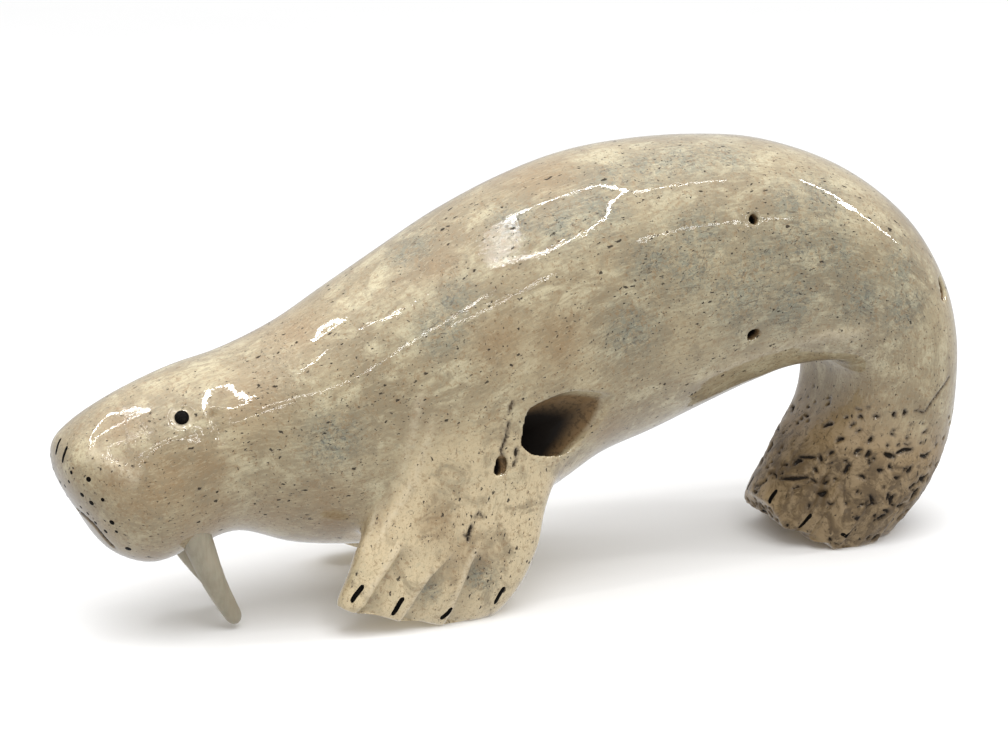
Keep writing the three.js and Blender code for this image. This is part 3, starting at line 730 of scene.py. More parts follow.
# Where the bone's colour changes: places on the left side (x, y, z) with a radius, all in millimetres.
BLUE_GREY = [
    (21, -27, 86, 7), (34, -26, 92, 8), (46, -27, 77, 10), (60, -27, 73, 9), (73, -26, 84, 7),
    (81, -26, 71, 8), (9, -20, 100, 7), (-1, -20, 96, 6), (30, -28, 84, 8), (62, -26, 88, 8),
    (93, -24, 78, 6), (95, -24, 67, 7), (-34, -23, 73, 6), (-62, -23, 49, 7), (14, -29, 70, 7),
    (-27, -31, 12, 4), (-40, -30, 10, 3), (-36, -7, 90, 6), (-29, -21, 80, 5), (70, -20, 96, 7),
    (52, -24, 84, 8), (14, -15, 105, 6), (25, -14, 107, 7), (36, -13, 109, 7), (48, -13, 110, 6),
    (-12, -16, 97, 6), (61, -22, 97, 6),
]
SCRAPED = [(-16, -16, 92, 7), (-4, -18, 93, 5), (-113, -17, 49, 5), (-107, -14, 53, 5), (100, -12, 88, 5)]
# Warm brown spots: some are stains, others are painted shade along the throat's lower edge, under the muzzle
# and in the neck crease.
WARM_BROWN = [
    (-38, -31, 27, 5), (-30, -32, 17, 7), (-20, -27, 70, 7), (-1, -7, 106, 9), (-33, -13, 88, 7),
    (-100, -20, 46, 5), (-112, -19, 44, 6), (-62, -21, 33, 7), (11, -24, 43, 6), (86, -15, 35, 12),
    (-110, -12, 55, 6), (-5, -29, 69, 8), (-80, -17, 59, 8), (-65, -8, 73, 8), (-92, -20, 30, 10),
    (-75, -20, 28, 9), (-105, -20, 40, 6), (-116, -10, 29, 8), (-60, -18, 26, 8), (-48, -22, 27, 6),
    (-108, -19, 38, 6), (-100, -20, 41, 6), (-122, -6, 38, 6), (-92, -19, 45, 6), (-104, -14, 22, 7),
]


def soft_spots(points, spots, side):
    total = np.zeros(len(points))
    for x, y, z, radius in spots:
        gap = gap_from(points, (x, y if side == LEFT else -y, z))
        total = np.maximum(total, np.exp(-((gap / radius) ** 2)))
    return total


def stains(points, spots, along, up):
    """Soft spots on both sides, moved along and up on the right side, so the sides differ."""
    moved = [(x + along, y, z + up, radius) for x, y, z, radius in spots]
    return np.maximum(soft_spots(points, spots, LEFT), soft_spots(points, moved, RIGHT))


def grain_places(points):
    """Every point's place along the bone, across it and up from its middle line, as if it were straight."""
    shares = np.linspace(0, 1, 500)
    middle, up, across, *_ = trunk_frames(shares)
    step = np.diff(middle, axis=0)
    length = np.concatenate([[0], np.cumsum(np.linalg.norm(step, axis=1))])
    way = np.gradient(middle, axis=0)
    way /= np.linalg.norm(way, axis=1)[:, None]
    rise = up / np.linalg.norm(up, axis=1)[:, None]
    found = KDTree(len(middle))
    for i, place in enumerate(middle):
        found.insert(place, i)
    found.balance()
    near = np.array([found.find(p)[1] for p in points])
    offset = points - middle[near]
    along = length[near] + (offset * way[near]).sum(1)
    return np.column_stack([along, (offset * across[near]).sum(1), (offset * rise[near]).sum(1)])


def flipper_share(points):
    """How much of each point belongs to a front flipper, where the grain runs down."""
    x, y, z = points.T
    share = np.zeros(len(points))
    for side in SIDES:
        back = FRONT_SET_BACK[side]
        front = np.interp(z, FLIPPER[::-1, 1], FLIPPER[::-1, 0]) + TO_MIDDLE + back
        own = smooth_step(-2, 2.5, x - front) * (1 - smooth_step(-4, 12, x - back))
        own *= smooth_step(8, 16, y * side)
        share = np.maximum(share, own * (1 - smooth_step(26, 62, z)))
    return share


def store(piece, name, values):
    """Keeps one number or one place per vertex, for the material to read."""
    kind, part = ("FLOAT", "value") if values.ndim == 1 else ("FLOAT_VECTOR", "vector")
    layer = piece.data.attributes.new(name, kind, "POINT")
    layer.data.foreach_set(part, values.astype(np.float32).ravel())


def crest_highlights(points, tree):
    """Painted highlight along the crests of the toes, the tendons, the belly fold and round the eyes."""
    pale = np.zeros(len(points))
    for side in SIDES:
        back = FRONT_SET_BACK[side]
        lines = [(on_side(line, side, back), 0.6, 1.1) for line in TENDONS]
        lines += [(on_side(line, side, back) - (0.6, 0, 0), 0.8, 0.8) for line in FRONT_TOE_CRESTS]
        lines += [(on_side(line, side) - (0.6, 0, 0), 0.6, 0.8) for line in HIND_TOE_CRESTS]
        lines += [(on_side(line, side), 0.7, 2.2) for line, *_ in SOFT_RIDGES]
        for line, share, width in lines:
            pale = np.maximum(pale, rise_along(points, line, share, width))
        eye, _ = from_side(tree, EYE_PLACE, side)
        pale = np.maximum(pale, ring(points, eye, *EYE_RIM))
    return pale


def keep_fine(piece, marks, tree):
    """Marks the surface away from small details, where the mesh may be made coarser."""
    points = points_of(piece)
    polished = np.array([nearest_place(tree, place) for place in points])
    edge, _ = nearest_mark(polished, marks)
    away = smooth_step(0.4, 1.2, edge)
    rim, _ = distance_to_line(points, np.array(CANAL_MOUTH + CANAL_MOUTH[:1]))
    away = np.minimum(away, smooth_step(0.8, 1.8, rim))
    group = piece.vertex_groups.new(name="coarser")
    for level in (0.0, 0.25, 0.5, 0.75, 1.0):
        chosen = np.flatnonzero(np.abs(away - level) <= 0.125)
        group.add(chosen.tolist(), level, "REPLACE")


def mark_bone(piece, uncut, marks):
    """Stores what the bone's material reads: grain, depth below the surface, the stained parts, painted shade
    and painted highlights.
    """
    points = points_of(piece)
    depth = np.zeros(len(points))
    polished = np.zeros_like(points)
    for i, place in enumerate(points):
        spot, normal, _, _ = uncut.find_nearest(Vector(place) * MM)
        depth[i] = -(Vector(place) * MM - spot).dot(normal) / MM
        polished[i] = spot / MM
    store(piece, "grain", grain_places(points))
    flipper = flipper_share(points)
    store(piece, "flipper", flipper)
    # painted shade in the steps behind the front toes, darker where the face sinks in
    store(piece, "toe_step", flipper * smooth_step(0.35, 1.2, depth))
    gaps = [gap_from(points, hole["at"]) for hole in SMALL_HOLES]
    in_hole = 1 - smooth_step(4, 6, np.min(gaps, axis=0))
    from_canal = gap_from(points, np.mean(CANAL_MOUTH, axis=0))
    inside = np.maximum(1 - smooth_step(14, 18, from_canal), smooth_step(2.5, 3.5, depth))
    inside = np.maximum(inside, in_hole)
    # depth inside the canal and the holes, counted deeper in the holes; the material paints shade with it
    # where it is deep
    store(piece, "depth", np.maximum(depth, 0) * inside * (1 + 1.6 * in_hole))
    edge, deep = nearest_mark(polished, marks)
    store(piece, "worn_edge", edge)
    store(piece, "worn_deep", deep)
    # painted highlight along the crests, tendons, belly fold and eye rims
    store(piece, "pale", crest_highlights(points, uncut))
    store(piece, "scraped", soft_spots(points, SCRAPED, LEFT))
    store(piece, "coarse", coarse_share(points))
    store(piece, "blue_grey", stains(points, BLUE_GREY, 6, -4))
    # warm brown stains, with painted shade along the throat, under the muzzle and in the neck crease
    store(piece, "brown_stain_and_shade", stains(points, WARM_BROWN, -5, 0))


# Materials

FLIPPER_GRAIN_TURN = 78  # how far the grain of the front flippers is turned from level, in degrees


class Nodes:
    """A node tree, with short calls for the nodes used here."""

    def __init__(self, tree):
        self.tree = tree

    def join(self, value, socket):
        if isinstance(value, bpy.types.NodeSocket):
            self.tree.links.new(value, socket)
        else:
            socket.default_value = value

    def node(self, kind, inputs=None, **settings):
        node = self.tree.nodes.new(kind)
        for name, value in settings.items():
            setattr(node, name, value)
        for name, value in (inputs or {}).items():
            self.join(value, node.inputs[name])
        return node

    def stored(self, name, part="Fac"):
        return self.node("ShaderNodeAttribute", attribute_name=name).outputs[part]

    def math(self, operation, *values):
        return self.node("ShaderNodeMath", dict(enumerate(values)), operation=operation).outputs[0]

    def places(self, operation, *values):
        """The same for places instead of numbers."""
        node = self.node("ShaderNodeVectorMath", dict(enumerate(values)), operation=operation)
        return node.outputs["Vector"]

    def times(self, a, b):
        return self.math("MULTIPLY", a, b)

    def span(self, value, low, high, to_low=0.0, to_high=1.0):
        """A value carried smoothly from one range to another."""
        inputs = {"Value": value, "From Min": low, "From Max": high, "To Min": to_low, "To Max": to_high}
        node = self.node("ShaderNodeMapRange", inputs, interpolation_type="SMOOTHSTEP")
        return node.outputs["Result"]

    def stretch(self, place, scale):
        return self.places("MULTIPLY", place, scale)

    def mixed(self, share, first, second):
        """A number between two others, by its share of the second."""
        return self.math("MULTIPLY_ADD", self.math("SUBTRACT", second, first), share, first)

    def either(self, share, first, second):
        """The second place where the share is more than half, and the first elsewhere."""
        way = self.places("SUBTRACT", second, first)
        return self.places("MULTIPLY_ADD", way, self.math("GREATER_THAN", share, 0.5), first)

    def noise(self, place, scale, detail=3.0, rough=0.55, warp=0.0):
        inputs = {"Vector": place, "Scale": scale, "Detail": detail, "Roughness": rough, "Distortion": warp}
        return self.node("ShaderNodeTexNoise", inputs).outputs["Fac"]

    def blend(self, share, first, second):
        node = self.node("ShaderNodeMix", data_type="RGBA")
        self.join(share, node.inputs["Factor"])
        self.join(first, node.inputs["A"])
        self.join(second, node.inputs["B"])
        return node.outputs["Result"]

    def over(self, colour, share, tone, strength=None):
        """A colour with a share of a plain tone laid over it."""
        if strength is not None:
            share = self.times(share, strength)
        return self.blend(share, colour, opaque(tone))

    def bump(self, height, distance, strength=1.0):
        inputs = {"Height": height, "Distance": distance, "Strength": strength}
        return self.node("ShaderNodeBump", inputs).outputs["Normal"]


class Shader(Nodes):
    """A new material, with calls that set its surface."""

    def __init__(self, name):
        self.material = bpy.data.materials.new(name)
        self.material.use_nodes = True
        super().__init__(self.material.node_tree)

    def surface(self, **values):
        """Sets the surface's sockets, which are named here with underscores for spaces."""
        sockets = self.tree.nodes["Principled BSDF"].inputs
        for name, value in values.items():
            self.join(value, sockets[name.replace("_", " ")])


def opaque(colour):
    return (colour[0], colour[1], colour[2], 1.0)


def specks(shader, place, scale, keep, size):
    """Small dark pores: the share of a speck at each place, in some of the cells."""
    cells = shader.node("ShaderNodeTexVoronoi", {"Vector": place, "Scale": scale, "Randomness": 1.0})
    chance = shader.node("ShaderNodeSeparateColor", {"Color": cells.outputs["Color"]})
    kept = shader.math("LESS_THAN", chance.outputs["Red"], keep)
    spread = shader.math("POWER", chance.outputs["Green"], 2.0)
    reach = shader.math("MULTIPLY_ADD", spread, size * 0.75, size * 0.35)
    inside = shader.math("DIVIDE", cells.outputs["Distance"], reach)
    return shader.times(shader.span(inside, 0.6, 1.15, 1.0, 0.0), kept)


def pores_along(s, grain, crowd):
    """Dark pores in two sizes, drawn out along the grain, and crowded where the crowd value is high."""
    bend = s.node("ShaderNodeTexNoise", {"Vector": grain, "Scale": 0.9, "Detail": 2.0}).outputs["Color"]
    bent = s.places("MULTIPLY_ADD", bend, (1.3, 1.3, 1.3), grain)
    wide = specks(s, s.stretch(bent, (0.42, 1.0, 1.0)), 0.7, s.times(crowd, 0.8), 0.2)
    fine = specks(s, s.stretch(bent, (0.5, 1.0, 1.0)), 1.55, s.times(crowd, 0.95), 0.22)
    return s.math("MAXIMUM", wide, s.times(fine, 0.85))


def bone_material(colours, sizes):
    """Polished jawbone: cream with grain, grey and brown clouds, dark pores, and a coarse brown hind end."""
    s = Shader("polished_bone")
    place = s.stretch(s.node("ShaderNodeTexCoord").outputs["Object"], (1000, 1000, 1000))
    turned = {"Vector": place, "Angle": np.radians(FLIPPER_GRAIN_TURN)}
    down = s.node("ShaderNodeVectorRotate", turned, rotation_type="Y_AXIS").outputs["Vector"]
    grain = s.stored("grain", "Vector")
    flipper = s.stored("flipper")
    coarse = s.stored("coarse")
    speckle = s.noise(place, 0.75, 4.0, 0.75, 0.4)
    trunk_fibre, flipper_fibre = (
        s.noise(s.stretch(way, (0.2, 1.0, 1.0)), 1.7, 3.0, 0.7, 0.3) for way in (grain, down)
    )
    fibre = s.mixed(flipper, trunk_fibre, s.math("MULTIPLY_ADD", flipper_fibre, 0.55, 0.215))

    colour = clouded_bone(s, colours, place, grain, flipper)
    colour = mottled_bone(s, colours, colour, place, grain, fibre, speckle)
    colour = coarse_bone(s, colours, colour, place, coarse)

    crowd = s.span(s.noise(place, 0.06, 3.0, 0.6), 0.36, 0.6, 0.45, 1.25)
    pores = pores_along(s, s.either(flipper, grain, down), crowd)
    colour = s.over(colour, pores, colours.pore, 0.92)

    ragged = s.math("MULTIPLY_ADD", s.noise(place, 1.3, 3.0, 0.65), 1.3, s.stored("worn_edge"))
    colour = s.over(colour, s.span(ragged, 0.6, 1.5, 0.6, 0.0), colours.hind_dark)
    worn = s.span(ragged, 0.42, 0.78, 1.0, 0.0)
    # Inside the marks: dark brown, going over to painted shade where they are deepest.
    deep = s.span(s.stored("worn_deep"), 0.25, 0.85)
    inside = s.blend(deep, opaque(colours.hind_dark), opaque(colours.depth_shade))
    colour = s.blend(s.times(worn, 0.95), colour, inside)

    depth = s.stored("depth")
    sunk = s.span(depth, 0.9, 2.6)
    colour = s.over(colour, sunk, colours.canal_brown, 0.92)
    colour = s.over(colour, s.times(sunk, s.span(speckle, 0.48, 0.62, 0.0, 0.75)), colours.hind_dark)
    # painted shade deep in the canal and the holes
    colour = s.over(colour, s.span(depth, 2.4, 6.8), colours.depth_shade)

    height = s.times(fibre, 0.05)
    height = s.math("SUBTRACT", height, s.times(s.math("MAXIMUM", pores, worn), 0.5))
    rough = s.times(s.times(coarse, s.noise(place, 0.5, 4.0, 0.7)), 0.5)
    height = s.math("ADD", height, rough)
    dull = s.math("MAXIMUM", s.math("MAXIMUM", pores, worn), sunk)
    polish = s.math("MAXIMUM", dull, s.times(coarse, 0.8))
    waves = s.noise(s.stretch(grain, (0.3, 1.0, 1.0)), 0.9, 3.0, 0.55)
    waves = s.math("ADD", waves, s.noise(place, 0.25, 2.0))
    scratch = s.noise(s.stretch(grain, (1.0, 0.22, 0.22)), 1.7, 3.0, 0.7)
    waves = s.math("MULTIPLY_ADD", scratch, s.span(s.stored("scraped"), 0.1, 0.8, 0.03, 1.5), waves)
    s.surface(
        Base_Color=colour,
        Normal=s.bump(height, sizes.pore_depth),
        Roughness=s.span(dull, 0.0, 1.0, 0.5, 0.85),
        Specular_IOR_Level=0.3,
        IOR=1.5,
        Coat_Weight=s.span(polish, 0.2, 1.0, 1.0, 0.08),
        Coat_Roughness=0.03,
        Coat_IOR=1.5,
        Coat_Normal=s.bump(waves, sizes.ripple),
    )
    return s.material


def clouded_bone(s, colours, place, grain, flipper):
    """The bone's ground colour: large clouds, warm brown stains that also paint shade under the head and
    throat, painted shade in the steps behind the front toes, and the lighter front flippers.
    """
    cloud = s.noise(place, 0.045, 4.0, 0.6, 0.5)
    patch = s.noise(s.stretch(grain, (0.55, 1.0, 1.0)), 0.16, 5.0, 0.65, 0.7)
    murk = s.noise(place, 0.11, 5.0, 0.7, 0.8)
    colour = s.blend(s.span(cloud, 0.36, 0.66), opaque(colours.bone), opaque(colours.bone_shade))
    colour = s.over(colour, flipper, colours.flipper, 0.85)
    pale_patch = s.times(s.span(patch, 0.45, 0.66, 0.0, 0.85), s.span(flipper, 0.3, 1.0, 1.0, 0.3))
    colour = s.over(colour, pale_patch, colours.bone_pale)
    colour = s.over(colour, s.span(murk, 0.5, 0.66, 0.0, 0.75), colours.bone_shade)
    # warm brown stains, with painted shade along the throat, under the muzzle and in the neck crease
    brown_stain_and_shade = s.times(s.stored("brown_stain_and_shade"), s.span(patch, 0.3, 0.62, 0.35, 1.0))
    colour = s.over(colour, brown_stain_and_shade, colours.warm_stain_and_shade, 0.85)
    # painted shade in the steps behind the front toes
    step = s.times(s.stored("toe_step"), s.span(murk, 0.35, 0.6, 0.25, 0.6))
    return s.over(colour, step, colours.bone_shade)


def mottled_bone(s, colours, colour, place, grain, fibre, speckle):
    """The bone's finer colours: blue-grey mottles, the fibres of the grain, flecks, and painted highlights
    along the crests.
    """
    streak = s.noise(s.stretch(grain, (0.35, 1.0, 1.0)), 0.8, 4.0, 0.72, 0.9)
    mottles = [
        (s.noise(place, 0.3, 5.0, 0.72, 1.2), (0.38, 0.6, 0.2, 1.0), colours.blue_grey, 0.85),
        (s.noise(place, 0.55, 5.0, 0.78, 1.5), (0.51, 0.62), colours.grey_vein, 0.9),
        (streak, (0.53, 0.63), colours.hind_dark, 0.75),
    ]
    grey = s.stored("blue_grey")
    for pattern, reach, tone, strength in mottles:
        colour = s.over(colour, s.times(grey, s.span(pattern, *reach)), tone, strength)
    flecks = [
        (fibre, (0.48, 0.66, 0.0, 0.55), colours.bone_shade),
        (fibre, (0.34, 0.47, 0.3, 0.0), colours.bone_pale),
        (speckle, (0.52, 0.66, 0.0, 0.6), colours.warm_stain_and_shade),
        (speckle, (0.34, 0.45, 0.2, 0.0), colours.blue_grey),
        (s.noise(place, 2.6, 4.0, 0.7, 0.3), (0.57, 0.69, 0.0, 0.5), colours.hind_brown),
        (s.noise(place, 1.15, 4.0, 0.75, 0.7), (0.58, 0.7, 0.0, 0.7), colours.hind_dark),
    ]
    for pattern, reach, tone in flecks:
        colour = s.over(colour, s.span(pattern, *reach), tone)
    # painted highlight along the crests, tendons, belly fold and eye rims
    pale = s.times(s.stored("pale"), s.span(speckle, 0.35, 0.6, 0.8, 0.3))
    return s.over(colour, pale, colours.highlight_tint)


def coarse_bone(s, colours, colour, place, coarse):
    """The coarse brown bone of the hind end, darkest low down, over the polished bone's colour."""
    patch = s.noise(place, 0.16, 5.0, 0.7, 0.8)
    hind = s.blend(s.span(patch, 0.42, 0.58), opaque(colours.hind_tan), opaque(colours.hind_brown))
    colour = s.blend(s.span(coarse, 0.0, 0.8), colour, hind)
    low = s.times(s.span(coarse, 0.8, 1.0, 0.3, 1.0), s.span(patch, 0.4, 0.64, 0.32, 0.88))
    colour = s.over(colour, s.times(low, coarse), colours.hind_dark)
    grime = s.times(coarse, s.span(s.noise(place, 0.36, 5.0, 0.74, 1.1), 0.51, 0.62))
    return s.over(colour, grime, colours.hind_dark, 0.85)


def ivory_material(colours):
    """Dull polished tusk ivory with faint lengthwise streaks."""
    s = Shader("tusk_ivory")
    place = s.node("ShaderNodeTexCoord").outputs["Object"]
    streak = s.noise(s.stretch(place, (900, 900, 140)), 1.0, 4.0, 0.6)
    cloud = s.noise(place, 160, 3.0)
    colour = opaque(colours.ivory)
    for pattern in (streak, cloud):
        colour = s.over(colour, s.span(pattern, 0.4, 0.7, 0.0, 0.5), colours.ivory_shade)
    s.surface(
        Base_Color=colour, Normal=s.bump(streak, 0.00012, 0.6), Roughness=s.span(cloud, 0.3, 0.7, 0.38, 0.52),
        Subsurface_Weight=0.1, Subsurface_Scale=0.002,
    )
    return s.material


def baleen_material(colours):
    """Black baleen, polished, with faint brown fibres along it."""
    s = Shader("black_baleen")
    place = s.node("ShaderNodeTexCoord").outputs["Object"]
    fibre = s.noise(s.stretch(place, (3000, 3000, 500)), 1.0, 3.0)
    s.surface(
        Base_Color=s.over(opaque(colours.baleen), s.span(fibre, 0.45, 0.75), colours.baleen_fibre),
        Normal=s.bump(fibre, 0.0001, 0.5), Roughness=s.span(fibre, 0.3, 0.7, 0.2, 0.35),
        Specular_IOR_Level=0.04,
    )
    return s.material


def floor_material(colours):
    """Pale matt floor, a little uneven in tone."""
    s = Shader("pale_floor")
    tone = s.noise(s.node("ShaderNodeTexCoord").outputs["Object"], 3.0, 2.0)
    uneven = s.over(opaque(colours.floor), s.span(tone, 0.3, 0.7, 0.0, 0.05), (1, 1, 1))
    s.surface(Base_Color=uneven, Roughness=0.9)
    return s.material


# Inlays and tusks

def inlay_seat(hit, normal, along):
    """Axes of an inlay on the surface: along it, across it and out of the bone."""
    out = Vector(normal).normalized()
    x = (Vector(along) - out * out.dot(Vector(along))).normalized()
    return Matrix((x, out.cross(x), out)).transposed(), Vector(hit)


def leaning(lean):
    angle = np.radians(lean)
    return Vector((np.sin(angle), 0, np.cos(angle)))


STRIP_ROWS = 15
STRIP_COLUMNS = 7
STRIP_PROUD = 0.12
STRIP_ROUNDING = 0.14
STRIP_THICKNESS = 1.2


def strip_inlay(name, tree, hit, normal, lean, length, width, seed):
    """A thin dark strip that follows the bone's surface, with worn ends."""
    axes, middle = inlay_seat(hit, normal, leaning(lean))
    out = axes.col[2]
    chance = np.random.default_rng(seed)
    rows, columns = STRIP_ROWS, STRIP_COLUMNS
    top = []
    for i in range(rows):
        u = i / (rows - 1) * 2 - 1
        taper = (1 - abs(u) ** 5) ** 0.5 * 0.85 + 0.15
        bend = 0.12 * width * np.sin(u * 2.4 + seed)
        for j in range(columns):
            v = (j / (columns - 1) * 2 - 1) * taper + chance.normal(0, 0.03)
            spot = middle + axes.col[0] * (u * length / 2) + axes.col[1] * (v * width / 2 + bend)
            below, *_ = tree.ray_cast((spot + out * 4) * MM, -out)
            place = below / MM if below is not None else spot
            edge = max(abs(u) ** 6, (abs(j / (columns - 1) * 2 - 1)) ** 4)
            top.append(place + out * (STRIP_PROUD - STRIP_ROUNDING * edge))
    under = [p - out * STRIP_THICKNESS for p in top]
    points = np.array([list(p) for p in top + under])
    count = rows * columns
    faces = []
    for i in range(rows - 1):
        for j in range(columns - 1):
            a = i * columns + j
            quad = (a, a + columns, a + columns + 1, a + 1)
            faces.append(quad)
            faces.append(tuple(k + count for k in reversed(quad)))
    rim = [i * columns for i in range(rows)]
    rim += [(rows - 1) * columns + j for j in range(1, columns)]
    rim += [i * columns + columns - 1 for i in range(rows - 2, -1, -1)]
    rim += [j for j in range(columns - 2, 0, -1)]
    for a, b in zip(rim, rim[1:] + rim[:1]):
        faces.append((a, b, b + count, a + count))
    return closed_object(name, points, faces)


def round_inlay(name, hit, normal, radius, dome, depth, rings=8, sides=28):
    """A round plug with a low polished dome."""
    axes, middle = inlay_seat(hit, normal, (1, 0, 0.3))
    turns = [k / rings * np.pi / 2 for k in range(1, rings + 1)]
    levels = [(0.02, dome)] + [(np.sin(turn), dome * np.cos(turn)) for turn in turns]
    levels += [(1.0, -0.15), (0.98, -depth)]
    plug_rings = []
    for share, height in levels:
        places = []
        for angle in np.linspace(0, 2 * np.pi, sides, endpoint=False):
            across = axes.col[1] * (np.sin(angle) * radius * share)
            flat = axes.col[0] * (np.cos(angle) * radius * share) + across
            places.append(list(middle + flat + axes.col[2] * height))
        plug_rings.append(places)
    return plug(name, plug_rings)


TUSK_LINES = {
    LEFT: [(-97.2, -13.6, 30.0), (-94.8, -13.2, 22.6), (-91.0, -12.6, 12.0), (-85.9, -12.0, 1.4)],
    RIGHT: [(-97.8, 10.0, 28.0), (-94.5, 8.8, 18.6), (-90.0, 7.2, 10.4), (-84.8, 5.4, 2.2)],
}
TUSK_RADIUS = (4.1, 1.9)
TUSK_RINGS = 60
TUSK_SIDES = 40


def tusk_piece(side):
    """A bowed tusk, oval in section, thickest at the root and worn to a blunt tip."""
    shares = np.linspace(0, 1, TUSK_RINGS + 1)
    line = smooth_curve(TUSK_LINES[side], shares) + (TO_MIDDLE, 0, 0)
    way = np.gradient(line, axis=0)
    way /= np.linalg.norm(way, axis=1)[:, None]
    across = np.cross(way, (0, 1, 0))
    across /= np.linalg.norm(across, axis=1)[:, None]
    beside = np.cross(way, across)
    radius = TUSK_RADIUS[0] + (TUSK_RADIUS[1] - TUSK_RADIUS[0]) * shares**1.3
    radius *= np.sqrt(np.maximum(0.03, 1 - np.maximum(0, (shares - 0.93) / 0.07) ** 2))
    angle = np.linspace(0, 2 * np.pi, TUSK_SIDES, endpoint=False)
    facet = 1 + 0.025 * np.cos(3 * angle + 0.6)[None] * (1 + 0.5 * np.sin(9 * shares))[:, None]
    reach = radius[:, None] * facet
    rings = (
        line[:, None]
        + across[:, None] * (reach * np.cos(angle))[..., None]
        + beside[:, None] * (reach * 0.94 * np.sin(angle))[..., None]
    )
    return plug(f"ivory_tusk_{SIDE_NAME[side]}", rings)


# Settings that a user can change

def number(name, description, default, low, high, unit="NONE", subtype="NONE"):
    return bpy.props.FloatProperty(
        name=name, description=description, default=default, min=low, max=high, unit=unit, subtype=subtype
    )


def whole(name, description, default, low, high):
    return bpy.props.IntProperty(name=name, description=description, default=default, min=low, max=high)


def tint(name, description, default):
    return bpy.props.FloatVectorProperty(
        name=name, description=description, default=default, min=0, max=1, size=3, subtype="COLOR"
    )


class CarvingSizes(bpy.types.PropertyGroup):
    """How finely the bone is carved"""

    blank_grid: number("Blank grid", "Grid of the uncarved bone, in millimetres", 1.0, 0.5, 3)
    grid: number("Carving grid", "Grid that the bone is carved on, in millimetres", 0.5, 0.3, 3)
    triangles: whole("Triangles", "Triangles left in the finished bone", 190000, 20000, 199000)
    polish_rounds: whole("Polish", "Rounds of smoothing over the whole bone", 10, 0, 50)
    join_rounds: whole("Soft joins", "Rounds of smoothing where the flippers leave the trunk", 60, 0, 400)
    toe_step: number("Toe step", "Depth of the step behind each toe, in millimetres", 1.35, 0, 3)
    tendon: number("Tendon", "Height of the tendons on the shoulder, in millimetres", 0.5, 0, 2)
    pore_depth: number("Pore depth", "Depth of the pores", 0.0006, 0, 0.003, "LENGTH", "DISTANCE")
    ripple: number("Ripple", "Height of the waves in the polish", 0.00002, 0, 0.001, "LENGTH", "DISTANCE")
    eye_radius: number("Eye radius", "Radius of an eye plug, in millimetres", 1.72, 0.5, 3)
    knob: number("Knobs", "Height of the knobs of the coarse hind end, in millimetres", 0.3, 0, 2)
    claw_width: number("Claw width", "Width of a claw strip, in millimetres", 1.3, 0.4, 3)


class CarvingColours(bpy.types.PropertyGroup):
    """Colours of the bone, the ivory and the baleen"""

    bone: tint("Bone", "Polished bone", (0.395, 0.32, 0.19))
    # Colour of the painted highlight along the crests, tendons, belly fold and eye rims.
    highlight_tint: tint("Light bone", "Crests, tendons and rims worn light", (0.68, 0.58, 0.41))
    bone_pale: tint("Pale bone", "Pale clouds in the bone", (0.535, 0.47, 0.305))
    flipper: tint("Flipper", "Lighter bone of the front flippers", (0.68, 0.55, 0.34))
    bone_shade: tint("Bone shade", "Darker clouds and grain in the bone", (0.25, 0.195, 0.112))
    # Brown of the stains, also used as painted shade along the throat, under the muzzle and in the neck
    # crease.
    warm_stain_and_shade: tint("Warm stain", "Brown stains in the bone", (0.25, 0.155, 0.066))
    blue_grey: tint("Blue-grey", "Blue-grey mottles in the bone", (0.185, 0.197, 0.15))
    grey_vein: tint("Grey vein", "Dark grey veins in the bone", (0.085, 0.088, 0.075))
    hind_brown: tint("Hind brown", "Coarse brown bone of the hind end", (0.3, 0.207, 0.103))
    hind_tan: tint("Hind tan", "Lighter bone between the pits of the hind end", (0.34, 0.246, 0.135))
    hind_dark: tint("Dark hind brown", "Darkest bone of the hind soles", (0.085, 0.055, 0.026))
    canal_brown: tint("Canal brown", "Bone inside the natural canals", (0.185, 0.108, 0.045))
    pore: tint("Pore", "Small dark pores", (0.03, 0.022, 0.014))
    # Near black painted shade deep in the canal, the holes, the slits and pits, and the mouth groove.
    depth_shade: tint("Pit", "Deep pits of the coarse bone", (0.008, 0.005, 0.003))
    ivory: tint("Ivory", "Tusk ivory", (0.36, 0.32, 0.235))
    ivory_shade: tint("Ivory shade", "Darker streaks in the ivory", (0.25, 0.215, 0.15))
    baleen: tint("Baleen", "Black baleen", (0.002, 0.0018, 0.0016))
    baleen_fibre: tint("Baleen fibre", "Brown fibres in the baleen", (0.01, 0.0075, 0.005))
    floor: tint("Floor", "Pale floor", (0.8, 0.8, 0.8))


class StageSettings(bpy.types.PropertyGroup):
    """The camera and the lights"""

    azimuth: number("Azimuth", "How far round the camera stands", -22, -180, 180)
    elevation: number("Elevation", "How far up the camera stands", 15.5, -90, 90)
    distance: number("Distance", "From the camera to what it looks at", 0.56, 0.1, 5, "LENGTH", "DISTANCE")
    lens: number("Lens", "Focal length in millimetres", 78, 10, 300)
    looks_at: bpy.props.FloatVectorProperty(
        name="Looks at", description="The place in the middle of the view", default=(-0.00815, 0, 0.0528),
        size=3, subtype="TRANSLATION", unit="LENGTH",
    )
    sky: number("Sky", "Strength of the white light from above", 1.86, 0, 5)
    horizon: number("Horizon", "Strength of the white light from the sides", 0.68, 0, 5)
    bounce: number("Bounce", "How much more light comes from straight below", 0.3, 0, 5)
    gather: number("Gather", "How much the light gathers overhead", 2.5, 0.5, 8)
    strip: number("Strips", "Brightness of the thin lights that streak the polish", 60, 0, 500)


# The stage

FLOOR_REACH = 3000  # from the carving to the floor's edges
SENSOR_WIDTH = 36

